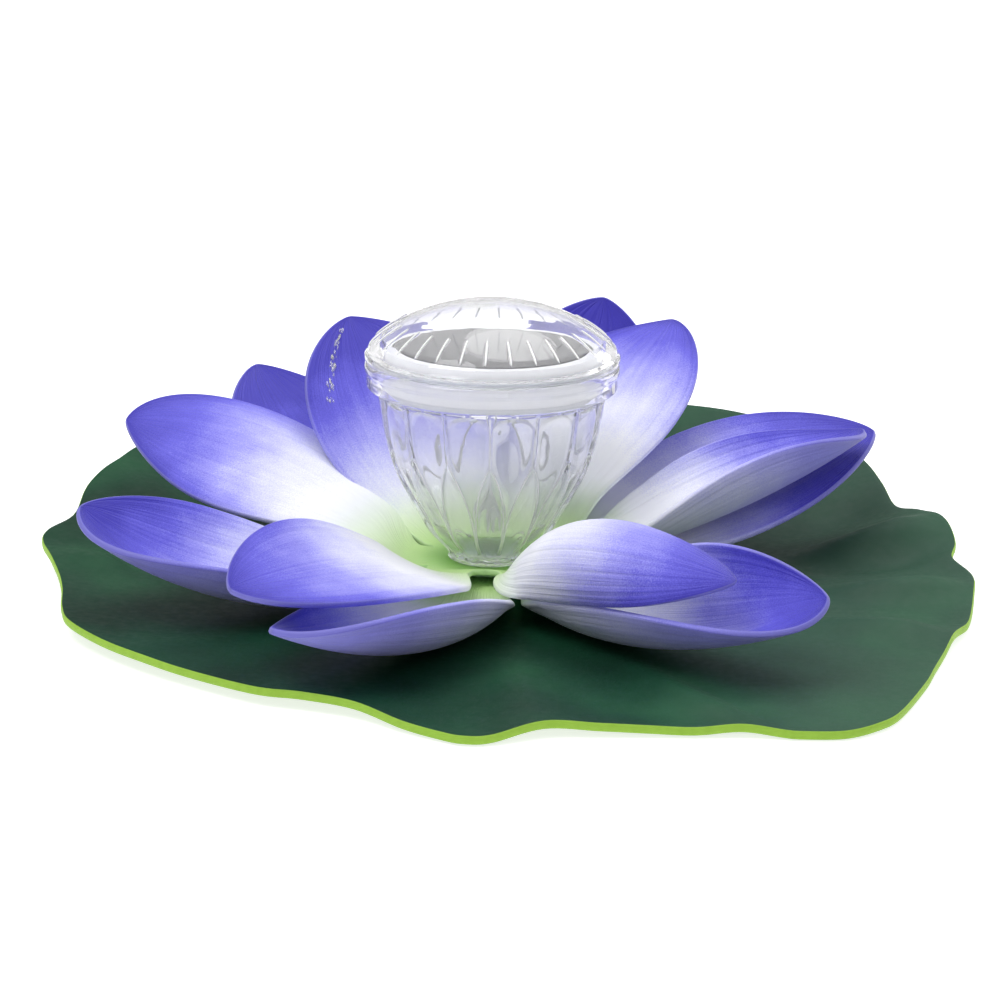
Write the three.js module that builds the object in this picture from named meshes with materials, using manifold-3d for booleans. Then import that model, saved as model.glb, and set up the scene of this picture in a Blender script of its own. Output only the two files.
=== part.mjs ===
// Floating lotus pool light: an EVA water-lily leaf and two six-petal EVA sheets
// pushed over the spigot of a clear lamp cup, with a solar module under a clear
// lid that lifts and turns off. Millimetres, +Z up, origin on the floor under the
// lamp's axis, on the flat bottom of the base cap.
import * as THREE from 'three';
import { mergeVertices } from 'three/addons/utils/BufferGeometryUtils.js';
import Module from 'manifold-3d';

const wasm = await Module();
wasm.setup();

// ---- driving dimensions ----
const gap = 0.3; // between pieces that touch
const sheetGap = 0.45; // between the leaf and the petal sheets, whose roots bend a little

// base cap, pushed into the spigot from below
const capRadius = 22;
const capThickness = 3;
const capPlugLength = 5;

// leaf sheet
const leafRadius = 144; // the edge's waves are given from here
const leafThickness = 2.4;
const leafHubLap = 1.5; // the leaf stays up on the base cap until this far past its rim
const leafFlatReach = 18.5; // from the hub to where the leaf has come down to the floor
const leafRiseReach = 38.5; // from the hub to where the waves of the edge start
const leafFloorGap = 0.4; // under the flat part, so the base cap carries the load
const leafSectors = 96;
const leafSlopeRings = 2; // between the hub and the flat part
const leafWaveRings = 3; // between the flat part and the edge

// petal sheets
const petalLength = 104;
const petalWidth = 57;
const petalThickness = 1.8;
const petalWebLap = 0.6; // the web round the hole reaches this far past the base cap
const petalRootLap = 0.6; // how far a petal's root reaches into the web round the hole
const petalNeck = 0.35; // width at the root, as a share of the widest
const petalNeckRound = 1.3; // how slowly the neck opens
const petalTipStart = 2.2; // how late the sides turn in towards the tip
const petalTipRound = 0.7; // how blunt the tip is
const petalBelly = 0.55; // where a petal is widest, as a share of its length
const petalLiftShare = 0.08; // share of the length over which a petal's slope begins
const petalFreeShare = 0.25; // share of the length over which its curl and twist begin
const petalDipLength = 104; // downward slopes are given for this length; longer petals dip less steeply
const petalRootShare = 0.2; // share of the length over which it leaves its sixth of the web
const petalSwayPower = 1.5; // sideways sway grows with the length to this power
const innerSheetTurn = 177; // direction of the first petal's root on each sheet
const outerSheetTurn = 197;
const petalRows = 14;
const petalColumns = 8;

// lamp cup
const spigotRadius = 7.5;
const spigotWall = 1.8;
const cupWall = 1.8;
const cupFloor = 2.2;
const cupBaseRadius = 12.5;
const cupBaseChamfer = 0.6;
const cupShoulderRadius = 34.6;
const cupHeight = 52.7; // from the cup's underside to the underside of its flange
const flangeOverhang = 3.4; // past the shoulder
const flangeBead = 0.6; // how far the beads stand out of the flange
const cupBeadHeight = 3.2; // from the top of the flange to the foot of its bead
const cupFlangeHeight = 7.5;
const mouthWall = 1.4;
const mouthDepth = 1; // the mouth's straight wall goes this far below the flange
const lampSegments = 44;

// lid
const gasketWidth = 1.9;
const gasketThickness = 1.7;
const gasketStand = 0.5; // how far the gasket stands up into the lid's groove
const lidFlangeHeight = 3.4;
const lidWall = 1.6;
const domeRise = 15; // from the top of the lid's flange to the apex

// solar module
const trayClearance = 0.8; // between the tray and the cup's mouth
const trayWall = 1.8;
const trayFloor = 1.5;
const trayRim = 2.6; // wall round the panel
const trayFoot = 2; // slope round the bottom
const trayInnerFoot = 1.1;
const trayProud = 0.4; // how far the tray's top stands above the lid's flange
const ledgeWidth = 2.6;
const ledgeThickness = 1.2;
const ledgeSlope = 3; // from the ledge's top down to where its brace meets the wall
const panelRoom = 0.7; // air between the battery's tab and the panel
const panelThickness = 1.2;
const cellThickness = 0.4;
const cellStrips = 4;
const cellGap = 0.6;
const cellMargin = 1.5;
const resinThickness = 1;
const resinProud = 0.2; // above the tray
const resinInset = 0.3;

// circuit board, a disc cut off past the lamp's axis
const boardClearance = 3.6; // between the board and the tray's wall
const boardThickness = 1.6;
const boardBatteryRoom = 3.75; // between the board's straight edge and the battery
const boardStandoff = 3.2;
const postRadius = 3;
const chipSize = [5, 4, 1.5];
const chipInset = 12; // from the edge of the board
const chipAngle = -126.9; // from +X
const chokeRadius = 2.6;
const chokeHeight = 2.6;
const chokeFlange = 0.5;
const chokeWaist = 0.7; // how far the winding lies inside the flanges
const chokeInset = 13.6;
const chokeAngle = 116.6;

// battery button and its tabs
const batteryRadius = 7.75;
const batteryHeight = 6.1;
const batteryRadialRound = 1.2;
const batteryEdgeRound = 0.8;
const batteryShare = 0.5948; // how far out it stands, as a share of the way to the tray's ledge
const tabWidth = 4;
const tabThickness = 0.4;
const tabOverlap = 4; // how far a tab reaches over the battery's face
const tabSpacing = 8; // between the two tabs' centre lines

// LED on bare leads
const ledRadius = 2.5;
const ledLength = 8.6;
const ledFlange = 0.4;
const ledFlangeHeight = 1;
const leadSpacing = 2.54;
const leadWidth = 0.5;
const ledDrop = 15; // from the tray's underside to the top of the LED
const ledHoleRadius = 3.2;

// slide switch in the tray's floor
const switchX = -15;
const switchLength = 8.6;
const switchWidth = 4.4;
const switchReach = 1.2; // below the tray
const switchTravel = 2;
const knobSize = 2;
const knobHeight = 4.2;
const knobReach = 2;

// fasteners and wires
const screwRadius = 1.1;
const screwHeadRadius = 2.2;
const screwHeadHeight = 1.6;
const screwLength = 4.6;
const screwPoint = 0.8;
const postHoleFloor = 0.9; // the posts' holes go this far into the tray's floor
const screwInset = 5; // from the edge of the board
const screwAngle = 140.5; // either side of +X
const wireRadius = 0.6;
const wireRise = 0.3;
const wireInset = 6.4; // from the edge of the board
const wireAngle = 166;
const wireSpanShare = 0.2963; // of the board's radius

// ---- radii that follow from the sizes above ----
const leafHubRadius = capRadius + leafHubLap;
const leafFlatRadius = leafHubRadius + leafFlatReach;
const leafRiseRadius = leafHubRadius + leafRiseReach;
const petalWebRadius = capRadius + petalWebLap;
const petalRootRadius = petalWebRadius - petalRootLap;
const flangeRadius = cupShoulderRadius + flangeOverhang;
const seatRadius = cupShoulderRadius - mouthWall;
const rebateRadius = seatRadius + gasketWidth + 2 * gap;
const trayRadius = seatRadius - trayClearance;
const panelRadius = trayRadius - trayRim - gap;
const boardRadius = trayRadius - trayWall - boardClearance;
const batteryX = batteryShare * (panelRadius - ledgeWidth);
const boardReach = batteryX - batteryRadius - boardBatteryRoom;

// a place on the board, given from its edge and by its direction
function boardPlace(inset, degrees) {
  const angle = THREE.MathUtils.degToRad(degrees);
  return [(boardRadius - inset) * Math.cos(angle), (boardRadius - inset) * Math.sin(angle)];
}

const screwPlaces = [screwAngle, -screwAngle].map((degrees) => boardPlace(screwInset, degrees));
const wirePlaces = [wireAngle, -wireAngle].map((degrees) => boardPlace(wireInset, degrees));
const chipPlace = boardPlace(chipInset, chipAngle);
const chokePlace = boardPlace(chokeInset, chokeAngle);
const wireSpan = wireSpanShare * boardRadius;

// ---- heights, from the floor up ----
const leafZ = capThickness + gap;
const outerZ = leafZ + leafThickness + sheetGap;
const innerZ = outerZ + petalThickness + sheetGap;
const cupZ = innerZ + petalThickness + gap;
const flangeZ = cupZ + cupHeight;
const cupTopZ = flangeZ + cupFlangeHeight;
const lidZ = cupTopZ + gap;
const lidFlangeTopZ = lidZ + lidFlangeHeight;
const trayTopZ = lidFlangeTopZ + trayProud;
const batteryRoom = 3 * gap + 2 * tabThickness + batteryHeight + panelRoom;
const panelStack = panelThickness + gap + cellThickness + gap + resinThickness;
const trayHeight = trayFloor + batteryRoom + panelStack - resinProud;
const trayZ = trayTopZ - trayHeight;
const trayFloorTopZ = trayZ + trayFloor;
const resinTopZ = trayTopZ + resinProud;
const resinZ = resinTopZ - resinThickness;
const cellZ = resinZ - gap - cellThickness;
const panelZ = cellZ - gap - panelThickness;
const ledgeTopZ = panelZ - gap;
const boardZ = trayFloorTopZ + boardStandoff;
const boardTopZ = boardZ + boardThickness;
const sheetHoleClearance = 0.5;
const sheetHoleRadius = spigotRadius + sheetHoleClearance;

// ---- small tools ----
function closedFaces(geometry) {
  geometry.deleteAttribute('normal');
  geometry.deleteAttribute('uv');
  const merged = mergeVertices(geometry, 1e-4);
  const index = merged.index.array;
  const kept = [];
  for (let i = 0; i < index.length; i += 3) {
    const [a, b, c] = [index[i], index[i + 1], index[i + 2]];
    if (a !== b && b !== c && c !== a) kept.push(a, b, c);
  }
  return { points: merged.attributes.position.array, faces: kept };
}

function signedVolume(points, faces) {
  const corner = (i) => new THREE.Vector3().fromArray(points, 3 * i);
  let sum = 0;
  for (let i = 0; i < faces.length; i += 3) {
    sum += corner(faces[i]).dot(corner(faces[i + 1]).cross(corner(faces[i + 2])));
  }
  return sum / 6;
}

function solid(geometry) {
  const { points, faces } = closedFaces(geometry);
  if (signedVolume(points, faces) < 0) faces.reverse();
  return new wasm.Manifold(new wasm.Mesh({
    numProp: 3,
    vertProperties: new Float32Array(points),
    triVerts: new Uint32Array(faces),
  }));
}

function geometryOf(body) {
  const mesh = body.getMesh();
  const geometry = new THREE.BufferGeometry();
  geometry.setAttribute('position', new THREE.BufferAttribute(new Float32Array(mesh.vertProperties), 3));
  geometry.setIndex(new THREE.BufferAttribute(new Uint32Array(mesh.triVerts), 1));
  geometry.computeVertexNormals();
  return geometry;
}

// a profile of [radius, height] points turned about the Z axis
function turned(profile, segments) {
  const points = profile.map(([radius, height]) => new THREE.Vector2(radius, height));
  const geometry = new THREE.LatheGeometry(points, segments);
  geometry.rotateX(Math.PI / 2);
  return solid(geometry);
}

function disc(radius, low, high, segments = lampSegments) {
  return turned([[0, low], [radius, low], [radius, high], [0, high]], segments);
}

function box(low, high) {
  const size = high.map((value, axis) => value - low[axis]);
  const geometry = new THREE.BoxGeometry(...size);
  geometry.translate(...low.map((value, axis) => value + size[axis] / 2));
  return solid(geometry);
}

function at(body, x, y) {
  return body.translate([x, y, 0]);
}

const light = new THREE.Group();

function add(name, body, colour, roughness, metalness = 0, parent = light) {
  const material = new THREE.MeshStandardMaterial({ color: colour, roughness, metalness });
  const mesh = new THREE.Mesh(geometryOf(body), material);
  mesh.name = name;
  parent.add(mesh);
  return mesh;
}

// ---- thin formed sheets ----
// rows of {point, normal}; closedAcross joins the last column to the first
function sheet(rows, thickness, closedAcross) {
  const columns = rows[0].length;
  const positions = [];
  for (const side of [0.5, -0.5]) {
    for (const row of rows) {
      for (const { point, normal } of row) {
        positions.push(...point.clone().addScaledVector(normal, side * thickness));
      }
    }
  }
  const count = rows.length * columns;
  const top = (i, j) => i * columns + (j % columns);
  const under = (i, j) => count + top(i, j);
  const faces = [];
  const quad = (a, b, c, d) => faces.push(a, b, c, a, c, d);
  const across = closedAcross ? columns : columns - 1;
  for (let i = 0; i + 1 < rows.length; i += 1) {
    for (let j = 0; j < across; j += 1) {
      quad(top(i, j), top(i + 1, j), top(i + 1, j + 1), top(i, j + 1));
      quad(under(i, j), under(i, j + 1), under(i + 1, j + 1), under(i + 1, j));
    }
    if (!closedAcross) {
      quad(top(i, 0), under(i, 0), under(i + 1, 0), top(i + 1, 0));
      quad(top(i, across), top(i + 1, across), under(i + 1, across), under(i, across));
    }
  }
  const last = rows.length - 1;
  for (let j = 0; j < across; j += 1) {
    quad(top(0, j), top(0, j + 1), under(0, j + 1), under(0, j));
    quad(top(last, j), under(last, j), under(last, j + 1), top(last, j + 1));
  }
  const geometry = new THREE.BufferGeometry();
  geometry.setAttribute('position', new THREE.Float32BufferAttribute(positions, 3));
  geometry.setIndex(faces);
  return solid(geometry);
}

// ---- leaf ----
// the edge: direction in degrees from +X, how far it is outside leafRadius, height
const leafEdge = [
  [-89, -5.4, 1.8], [-83, -10.8, 3.6], [-77, -9.3, 3], [-72, -6.6, 2.4], [-67, -2.4, 1.9],
  [-62, 2.7, 2.2], [-58, 10.3, 1.8], [-54, 16.5, 1.8], [-50, 17.3, 1.9], [-46, 14.9, 2],
  [-37, 6.3, 2], [-31, 1.9, 2.2], [-20, -1, 3.2], [-14.5, 0.3, 3.4], [-6, 1, 4.2], [0, 2, 6],
  [4.5, -2, 9], [8.6, 1.4, 11], [12.5, 1.4, 14], [18.4, -0.7, 14], [23, -3, 13], [29, 0.7, 17],
  [37, 6, 21], [46, 4, 25], [60, 3, 27], [80, -2, 26], [98, -5, 24], [115, -2, 23], [130, 0, 22.5],
  [142, 0.4, 21], [149, -1.4, 18], [154, -2.4, 15.5], [158, -4.5, 14], [166, -9.4, 11],
  [172, -6.5, 10], [176, -7.5, 8.5], [187, -15, 7.5], [194.5, -15.7, 7], [201.5, -13, 6],
  [207, -11.9, 5.5], [216, -14.6, 4.6], [225.5, -16.9, 4.2], [240, -17.8, 4.2], [247, -19.7, 4.4],
  [254, -18.9, 4], [260.5, -12.1, 2.4], [265, -7, 1.9], [267.8, -4.3, 1.8],
];

function leafEdgeCurve() {
  const points = leafEdge.map(([degrees, outside, height]) => {
    const angle = THREE.MathUtils.degToRad(degrees);
    const radius = leafRadius + outside;
    return new THREE.Vector3(radius * Math.cos(angle), radius * Math.sin(angle), height);
  });
  return new THREE.CatmullRomCurve3(points, true, 'catmullrom', 0.5);
}

// the mid surface along one direction: a raised hub, a flat stretch on the floor, and
// an edge that rises with the square of the distance past leafRiseRadius
function leafHeight(radius, edge) {
  const hubHeight = leafZ + leafThickness / 2;
  const floorHeight = leafFloorGap + leafThickness / 2;
  const down = THREE.MathUtils.smoothstep(radius, leafHubRadius, leafFlatRadius);
  const edgeRadius = Math.hypot(edge.x, edge.y);
  const out = Math.max(0, (radius - leafRiseRadius) / (edgeRadius - leafRiseRadius));
  return THREE.MathUtils.lerp(hubHeight, floorHeight, down) + (edge.z - floorHeight) * out ** 2;
}

function leafBody() {
  const curve = leafEdgeCurve();
  const edges = Array.from({ length: leafSectors }, (unused, sector) => curve.getPoint(sector / leafSectors));
  const rings = [() => sheetHoleRadius];
  for (let ring = 0; ring <= leafSlopeRings; ring += 1) {
    rings.push(() => THREE.MathUtils.lerp(leafHubRadius, leafFlatRadius, ring / leafSlopeRings));
  }
  for (let ring = 0; ring <= leafWaveRings; ring += 1) {
    rings.push((edgeRadius) => THREE.MathUtils.lerp(leafRiseRadius, edgeRadius, ring / leafWaveRings));
  }
  const up = new THREE.Vector3(0, 0, 1);
  const rows = rings.map((ring) => edges.map((edge) => {
    const edgeRadius = Math.hypot(edge.x, edge.y);
    const radius = ring(edgeRadius);
    const height = leafHeight(radius, edge);
    const point = new THREE.Vector3(edge.x / edgeRadius * radius, edge.y / edgeRadius * radius, height);
    return { point, normal: up };
  }));
  return sheet(rows, leafThickness, true);
}

add('lily_leaf', leafBody(), 0x2f5443, 0.6);

// ---- petals ----
// direction, length and width past petalLength and petalWidth, slope at the root and how
// much it grows, how far each side curls up (left and right, looking outward), sideways
// sway, and twist at root and tip
const innerPetals = [
  { azimuth: 153, longer: 1, wider: 1, slope: 34, bend: -29, curl: [-12, -20], sway: 27, twist: [0, -29] },
  { azimuth: -116, longer: -1, wider: -10, slope: 28, bend: -32, curl: [12, 16], sway: -26, twist: [-12, -18] },
  { azimuth: -76, longer: 1, wider: -14, slope: 55, bend: -82, curl: [-70, -95], sway: 72, twist: [44, 12] },
  { azimuth: 9, longer: 0, wider: -4, slope: 12, bend: 16, curl: [60, 88], sway: 20, twist: [6, -7] },
  { azimuth: 57, longer: -5, wider: -1, slope: 55, bend: -33, curl: [38, -41], sway: -6, twist: [-30, -10] },
  { azimuth: 118, longer: -11, wider: 0, slope: 38, bend: 3, curl: [10, 49], sway: 6, twist: [-11, -4] },
];
const outerPetals = [
  { azimuth: -153, longer: 7, wider: 0, slope: -13, bend: 55, curl: [91, 17], sway: -24, twist: [-18, -27] },
  { azimuth: -100, longer: 7, wider: -3, slope: -12, bend: 38, curl: [78, 45], sway: -52, twist: [-6, 8] },
  { azimuth: -56, longer: 8, wider: 1, slope: -13, bend: 44, curl: [80, 93], sway: 40, twist: [4, 32] },
  { azimuth: 27, longer: 7, wider: 2, slope: 16, bend: 5, curl: [27, 6], sway: -25, twist: [12, 14] },
  { azimuth: 71, longer: 0, wider: 0, slope: 18, bend: 46, curl: [40, 1], sway: -9, twist: [7, 25] },
  { azimuth: 132, longer: -1, wider: 0, slope: 10, bend: 30, curl: [-4, 22], sway: 2, twist: [-2, 2] },
];

function petalWidthShare(along) {
  if (along < petalBelly) {
    const opening = Math.sin(Math.PI / 2 * along / petalBelly) ** petalNeckRound;
    return petalNeck + (1 - petalNeck) * opening;
  }
  const past = (along - petalBelly) / (1 - petalBelly);
  return (1 - past ** petalTipStart) ** petalTipRound;
}

// the way the midrib runs at a share of its length
function petalHeading(petal, along) {
  const start = petal.slope < 0 ? petal.slope * petalDipLength / petalLength : petal.slope;
  const rise = start * THREE.MathUtils.smoothstep(along, 0, petalLiftShare);
  const slope = THREE.MathUtils.degToRad(rise + petal.bend * along);
  const heading = THREE.MathUtils.degToRad(petal.azimuth + petal.sway * along ** petalSwayPower);
  const ahead = new THREE.Vector3(
    Math.cos(slope) * Math.cos(heading),
    Math.cos(slope) * Math.sin(heading),
    Math.sin(slope),
  );
  const left = new THREE.Vector3(-Math.sin(heading), Math.cos(heading), 0);
  return { ahead, left };
}

function petalMidrib(petal, rootHeight) {
  const azimuth = THREE.MathUtils.degToRad(petal.azimuth);
  const point = new THREE.Vector3(
    petalRootRadius * Math.cos(azimuth),
    petalRootRadius * Math.sin(azimuth),
    rootHeight,
  );
  const points = [point.clone()];
  const fineSteps = 8;
  const step = (petalLength + petal.longer) / (petalRows * fineSteps);
  for (let row = 0; row < petalRows; row += 1) {
    for (let fine = 0; fine < fineSteps; fine += 1) {
      const along = (row + (fine + 0.5) / fineSteps) / petalRows;
      point.addScaledVector(petalHeading(petal, along).ahead, step);
    }
    points.push(point.clone());
  }
  return points;
}

// one row across a petal: an arc that keeps the sheet's width, each side with its own curl;
// near the root the row moves into its own sixth of the web, straight out from the hole
function petalRow(petal, root, centre, along) {
  const { ahead, left } = petalHeading(petal, along);
  const free = THREE.MathUtils.smoothstep(along, 0, petalFreeShare);
  const twist = THREE.MathUtils.degToRad(THREE.MathUtils.lerp(...petal.twist, along)) * free;
  const side = left.applyAxisAngle(ahead, twist);
  const up = ahead.clone().cross(side);
  const share = petalWidthShare(along);
  const halfWidth = (petalWidth + petal.wider) / 2 * share;
  const reach = petalRootRadius + (petalLength + petal.longer) * along;
  const held = 1 - THREE.MathUtils.smoothstep(along, 0, petalRootShare);
  const row = [];
  for (let column = 0; column <= petalColumns; column += 1) {
    const across = 2 * column / petalColumns - 1;
    const curl = THREE.MathUtils.degToRad(across > 0 ? petal.curl[0] : petal.curl[1]) * share * free;
    const turn = Math.abs(across) * curl;
    const flat = Math.abs(curl) < 1e-3;
    const out = flat ? Math.abs(across) : Math.sin(turn) / curl;
    const lift = flat ? 0 : (1 - Math.cos(turn)) / curl;
    const point = centre.clone()
      .addScaledVector(side, Math.sign(across) * halfWidth * out)
      .addScaledVector(up, halfWidth * lift);
    const around = THREE.MathUtils.degToRad(root) + across * Math.asin(halfWidth / reach);
    point.x = THREE.MathUtils.lerp(point.x, reach * Math.cos(around), held);
    point.y = THREE.MathUtils.lerp(point.y, reach * Math.sin(around), held);
    const normal = up.clone().multiplyScalar(Math.cos(turn))
      .addScaledVector(side, -Math.sign(across) * Math.sin(turn));
    row.push({ point, normal });
  }
  return row;
}

function petalSheetBody(petals, turn, bottom) {
  const rootHeight = bottom + petalThickness / 2;
  let body = disc(petalWebRadius, bottom, bottom + petalThickness, 48);
  petals.forEach((petal, place) => {
    const root = turn + 360 / petals.length * place;
    const midrib = petalMidrib(petal, rootHeight);
    const rows = midrib.map((centre, row) => petalRow(petal, root, centre, row / petalRows));
    body = body.add(sheet(rows, petalThickness, false));
  });
  return body.subtract(disc(sheetHoleRadius, bottom - 1, bottom + petalThickness + 1, 36));
}

add('outer_petals', petalSheetBody(outerPetals, outerSheetTurn, outerZ), 0xd8dcf4, 0.55);
add('inner_petals', petalSheetBody(innerPetals, innerSheetTurn, innerZ), 0xd8dcf4, 0.55);

// ---- base cap ----
const plugRadius = spigotRadius - spigotWall - gap;
add('base_cap', turned([
  [0, 0], [capRadius, 0], [capRadius, capThickness], [plugRadius, capThickness],
  [plugRadius, capThickness + capPlugLength], [0, capThickness + capPlugLength],
], 48), 0xe8eceb, 0.3);

// ---- lamp cup ----
// outside of the bowl, as shares of the way from its base to its shoulder
const cupSwell = [
  [0.04, 0.06], [0.28, 0.17], [0.44, 0.28], [0.6, 0.4], [0.79, 0.56], [0.92, 0.76], [0.985, 0.945],
];

function cupOutside() {
  const bowl = cupSwell.map(([out, up]) => [
    THREE.MathUtils.lerp(cupBaseRadius, cupShoulderRadius, out),
    cupZ + up * cupHeight,
  ]);
  return [[cupBaseRadius - cupBaseChamfer, cupZ], ...bowl, [cupShoulderRadius, flangeZ]];
}

const gasketZ = lidZ + gap + gasketStand - gasketThickness;

function cupBody() {
  const inside = cupSwell.map(([out, up]) => [
    THREE.MathUtils.lerp(cupBaseRadius, cupShoulderRadius, out) - cupWall,
    cupZ + cupFloor + up * (cupHeight - cupFloor),
  ]).reverse();
  return turned([
    [0, cupZ],
    [spigotRadius - spigotWall, cupZ],
    [spigotRadius - spigotWall, capThickness + gap],
    [spigotRadius, capThickness + gap],
    [spigotRadius, cupZ],
    ...cupOutside(),
    [flangeRadius - flangeBead - 0.4, flangeZ],
    [flangeRadius - flangeBead, flangeZ + flangeBead],
    [flangeRadius - flangeBead, cupTopZ - cupBeadHeight],
    [flangeRadius, cupTopZ - cupBeadHeight + 0.8],
    [flangeRadius, cupTopZ - 0.8],
    [flangeRadius - flangeBead, cupTopZ],
    [rebateRadius, cupTopZ],
    [rebateRadius, gasketZ - gap],
    [seatRadius, gasketZ - gap],
    [seatRadius, flangeZ - mouthDepth],
    ...inside,
    [cupBaseRadius - cupWall - 1, cupZ + cupFloor],
    [0, cupZ + cupFloor],
  ], lampSegments);
}

add('lamp_cup', cupBody(), 0xe9eef0, 0.08);

// ---- lid gasket ----
function gasketBody() {
  const low = seatRadius + gap;
  const high = low + gasketWidth;
  return turned([
    [low, gasketZ], [high, gasketZ], [high, gasketZ + gasketThickness], [low, gasketZ + gasketThickness],
    [low, gasketZ],
  ], lampSegments);
}

add('lid_gasket', gasketBody(), 0xdfe3e6, 0.6);

// ---- dome lens ----
const lidInsideRadius = trayRadius + gap;

// height of the dome's outside at a radius
function domeHeight(radius, reach, foot, rise) {
  return foot + rise * (1 - (radius / reach) ** 2) ** 0.75;
}

function domeArc(reach, foot, rise, from, steps) {
  const arc = [];
  for (let step = 0; step <= steps; step += 1) {
    const radius = from * Math.cos(Math.PI / 2 * step / steps);
    arc.push([step === steps ? 0 : radius, domeHeight(radius, reach, foot, rise)]);
  }
  return arc;
}

function domeBody() {
  const outside = domeArc(flangeRadius, lidFlangeTopZ - 0.9, domeRise + 0.9, flangeRadius - 1.4, 7);
  const insideRise = domeRise + 0.9 - lidWall;
  const inside = domeArc(flangeRadius - lidWall, lidFlangeTopZ - 0.9, insideRise, lidInsideRadius, 6);
  const gasketTop = gasketZ + gasketThickness + gap;
  return turned([
    ...inside.reverse(),
    [lidInsideRadius, gasketTop],
    [rebateRadius, gasketTop],
    [rebateRadius, lidZ],
    [flangeRadius - flangeBead, lidZ],
    [flangeRadius, lidZ + 0.8],
    [flangeRadius, lidZ + 2.2],
    [flangeRadius - 0.8, lidFlangeTopZ - 0.2],
    ...outside,
  ], lampSegments);
}

add('dome_lens', domeBody(), 0xf2f4f6, 0.06);

// ---- module tray ----
function trayBody() {
  let tray = turned([
    [0, trayZ], [trayRadius - trayFoot, trayZ], [trayRadius, trayZ + trayFoot],
    [trayRadius, trayTopZ], [panelRadius + gap, trayTopZ],
    [panelRadius + gap, ledgeTopZ], [panelRadius - ledgeWidth, ledgeTopZ],
    [panelRadius - ledgeWidth, ledgeTopZ - ledgeThickness], [trayRadius - trayWall, ledgeTopZ - ledgeSlope],
    [trayRadius - trayWall, trayFloorTopZ + trayInnerFoot],
    [trayRadius - trayWall - trayInnerFoot, trayFloorTopZ],
    [0, trayFloorTopZ],
  ], lampSegments);
  for (const [x, y] of screwPlaces) {
    tray = tray.add(at(disc(postRadius, trayFloorTopZ - 0.5, boardZ - gap, 16), x, y));
    tray = tray.subtract(at(disc(screwRadius + gap, trayFloorTopZ - postHoleFloor, boardZ + 1, 12), x, y));
  }
  const clearX = switchWidth / 2 + gap;
  const clearY = switchLength / 2 + gap;
  return tray
    .subtract(disc(ledHoleRadius, trayZ - 1, trayFloorTopZ + 1, 24))
    .subtract(box([switchX - clearX, -clearY, trayZ - 1], [switchX + clearX, clearY, trayFloorTopZ + 1]));
}

add('module_tray', trayBody(), 0xf3f4f5, 0.35);

// ---- solar panel ----
add('panel_board', disc(panelRadius, panelZ, panelZ + panelThickness), 0x2c3a33, 0.5);

const cellRadius = panelRadius - cellMargin;
const cellPitch = 2 * cellRadius / cellStrips;
const cellDisc = disc(cellRadius, cellZ, cellZ + cellThickness);
for (let strip = 0; strip < cellStrips; strip += 1) {
  const left = -cellRadius + strip * cellPitch + cellGap / 2;
  const right = left + cellPitch - cellGap;
  const window = box([left, -panelRadius, cellZ - 1], [right, panelRadius, cellZ + 1]);
  add(`cell_strip_${strip + 1}`, cellDisc.intersect(window), 0x6a6c74, 0.2, 0.3);
}

add('panel_resin', disc(panelRadius - resinInset, resinZ, resinTopZ), 0xd6dade, 0.05);

// ---- circuit board and what is on it ----
function boardBody() {
  const past = boardRadius + 1;
  const half = box([-past, -past, boardZ - 1], [boardReach, past, boardTopZ + 1]);
  let board = disc(boardRadius, boardZ, boardTopZ).intersect(half);
  for (const [x, y] of screwPlaces) {
    board = board.subtract(at(disc(screwRadius + gap, boardZ - 1, boardTopZ + 1, 12), x, y));
  }
  return board;
}

add('circuit_board', boardBody(), 0x2f7a4c, 0.5);

const [chipX, chipY] = chipPlace;
const [chipLength, chipDepth, chipHeight] = chipSize;
add('driver_chip', box(
  [chipX - chipLength / 2, chipY - chipDepth / 2, boardTopZ + gap],
  [chipX + chipLength / 2, chipY + chipDepth / 2, boardTopZ + gap + chipHeight],
), 0x222326, 0.5);

const chokeZ = boardTopZ + gap;
add('choke_coil', at(turned([
  [0, chokeZ], [chokeRadius, chokeZ], [chokeRadius, chokeZ + chokeFlange],
  [chokeRadius - chokeWaist, chokeZ + chokeFlange + 0.3],
  [chokeRadius - chokeWaist, chokeZ + chokeHeight - chokeFlange - 0.3],
  [chokeRadius, chokeZ + chokeHeight - chokeFlange],
  [chokeRadius, chokeZ + chokeHeight], [0, chokeZ + chokeHeight],
], 16), ...chokePlace), 0x3a3a3e, 0.6);

screwPlaces.forEach(([x, y], place) => {
  const seat = boardTopZ + gap;
  add(`pcb_screw_${place + 1}`, at(turned([
    [0, seat - screwLength], [screwRadius, seat - screwLength + screwPoint], [screwRadius, seat],
    [screwHeadRadius, seat], [screwHeadRadius, seat + screwHeadHeight * 0.6],
    [screwHeadRadius * 0.7, seat + screwHeadHeight], [0, seat + screwHeadHeight],
  ], 12), x, y), 0xb9bcc0, 0.3, 0.9);
});

// ---- battery and tabs ----
const batteryZ = trayFloorTopZ + gap + tabThickness + gap;
const batteryTopZ = batteryZ + batteryHeight;
add('battery_cell', at(turned([
  [0, batteryZ], [batteryRadius - batteryRadialRound, batteryZ], [batteryRadius, batteryZ + batteryEdgeRound],
  [batteryRadius, batteryTopZ - batteryEdgeRound], [batteryRadius - batteryRadialRound, batteryTopZ],
  [0, batteryTopZ],
], 30), batteryX, 0), 0xaeb2b6, 0.3, 0.9);

// a strip that lies on a face of the battery and turns along Z to the board's edge
function tabBody(faceZ, footZ, y) {
  const reach = batteryX - batteryRadius + tabOverlap;
  const wallX = boardReach + gap;
  const low = Math.min(faceZ, footZ);
  const high = Math.max(faceZ + tabThickness, footZ);
  const strip = box([wallX, y - tabWidth / 2, faceZ], [reach, y + tabWidth / 2, faceZ + tabThickness]);
  return strip.add(box([wallX, y - tabWidth / 2, low], [wallX + tabThickness, y + tabWidth / 2, high]));
}

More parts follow.
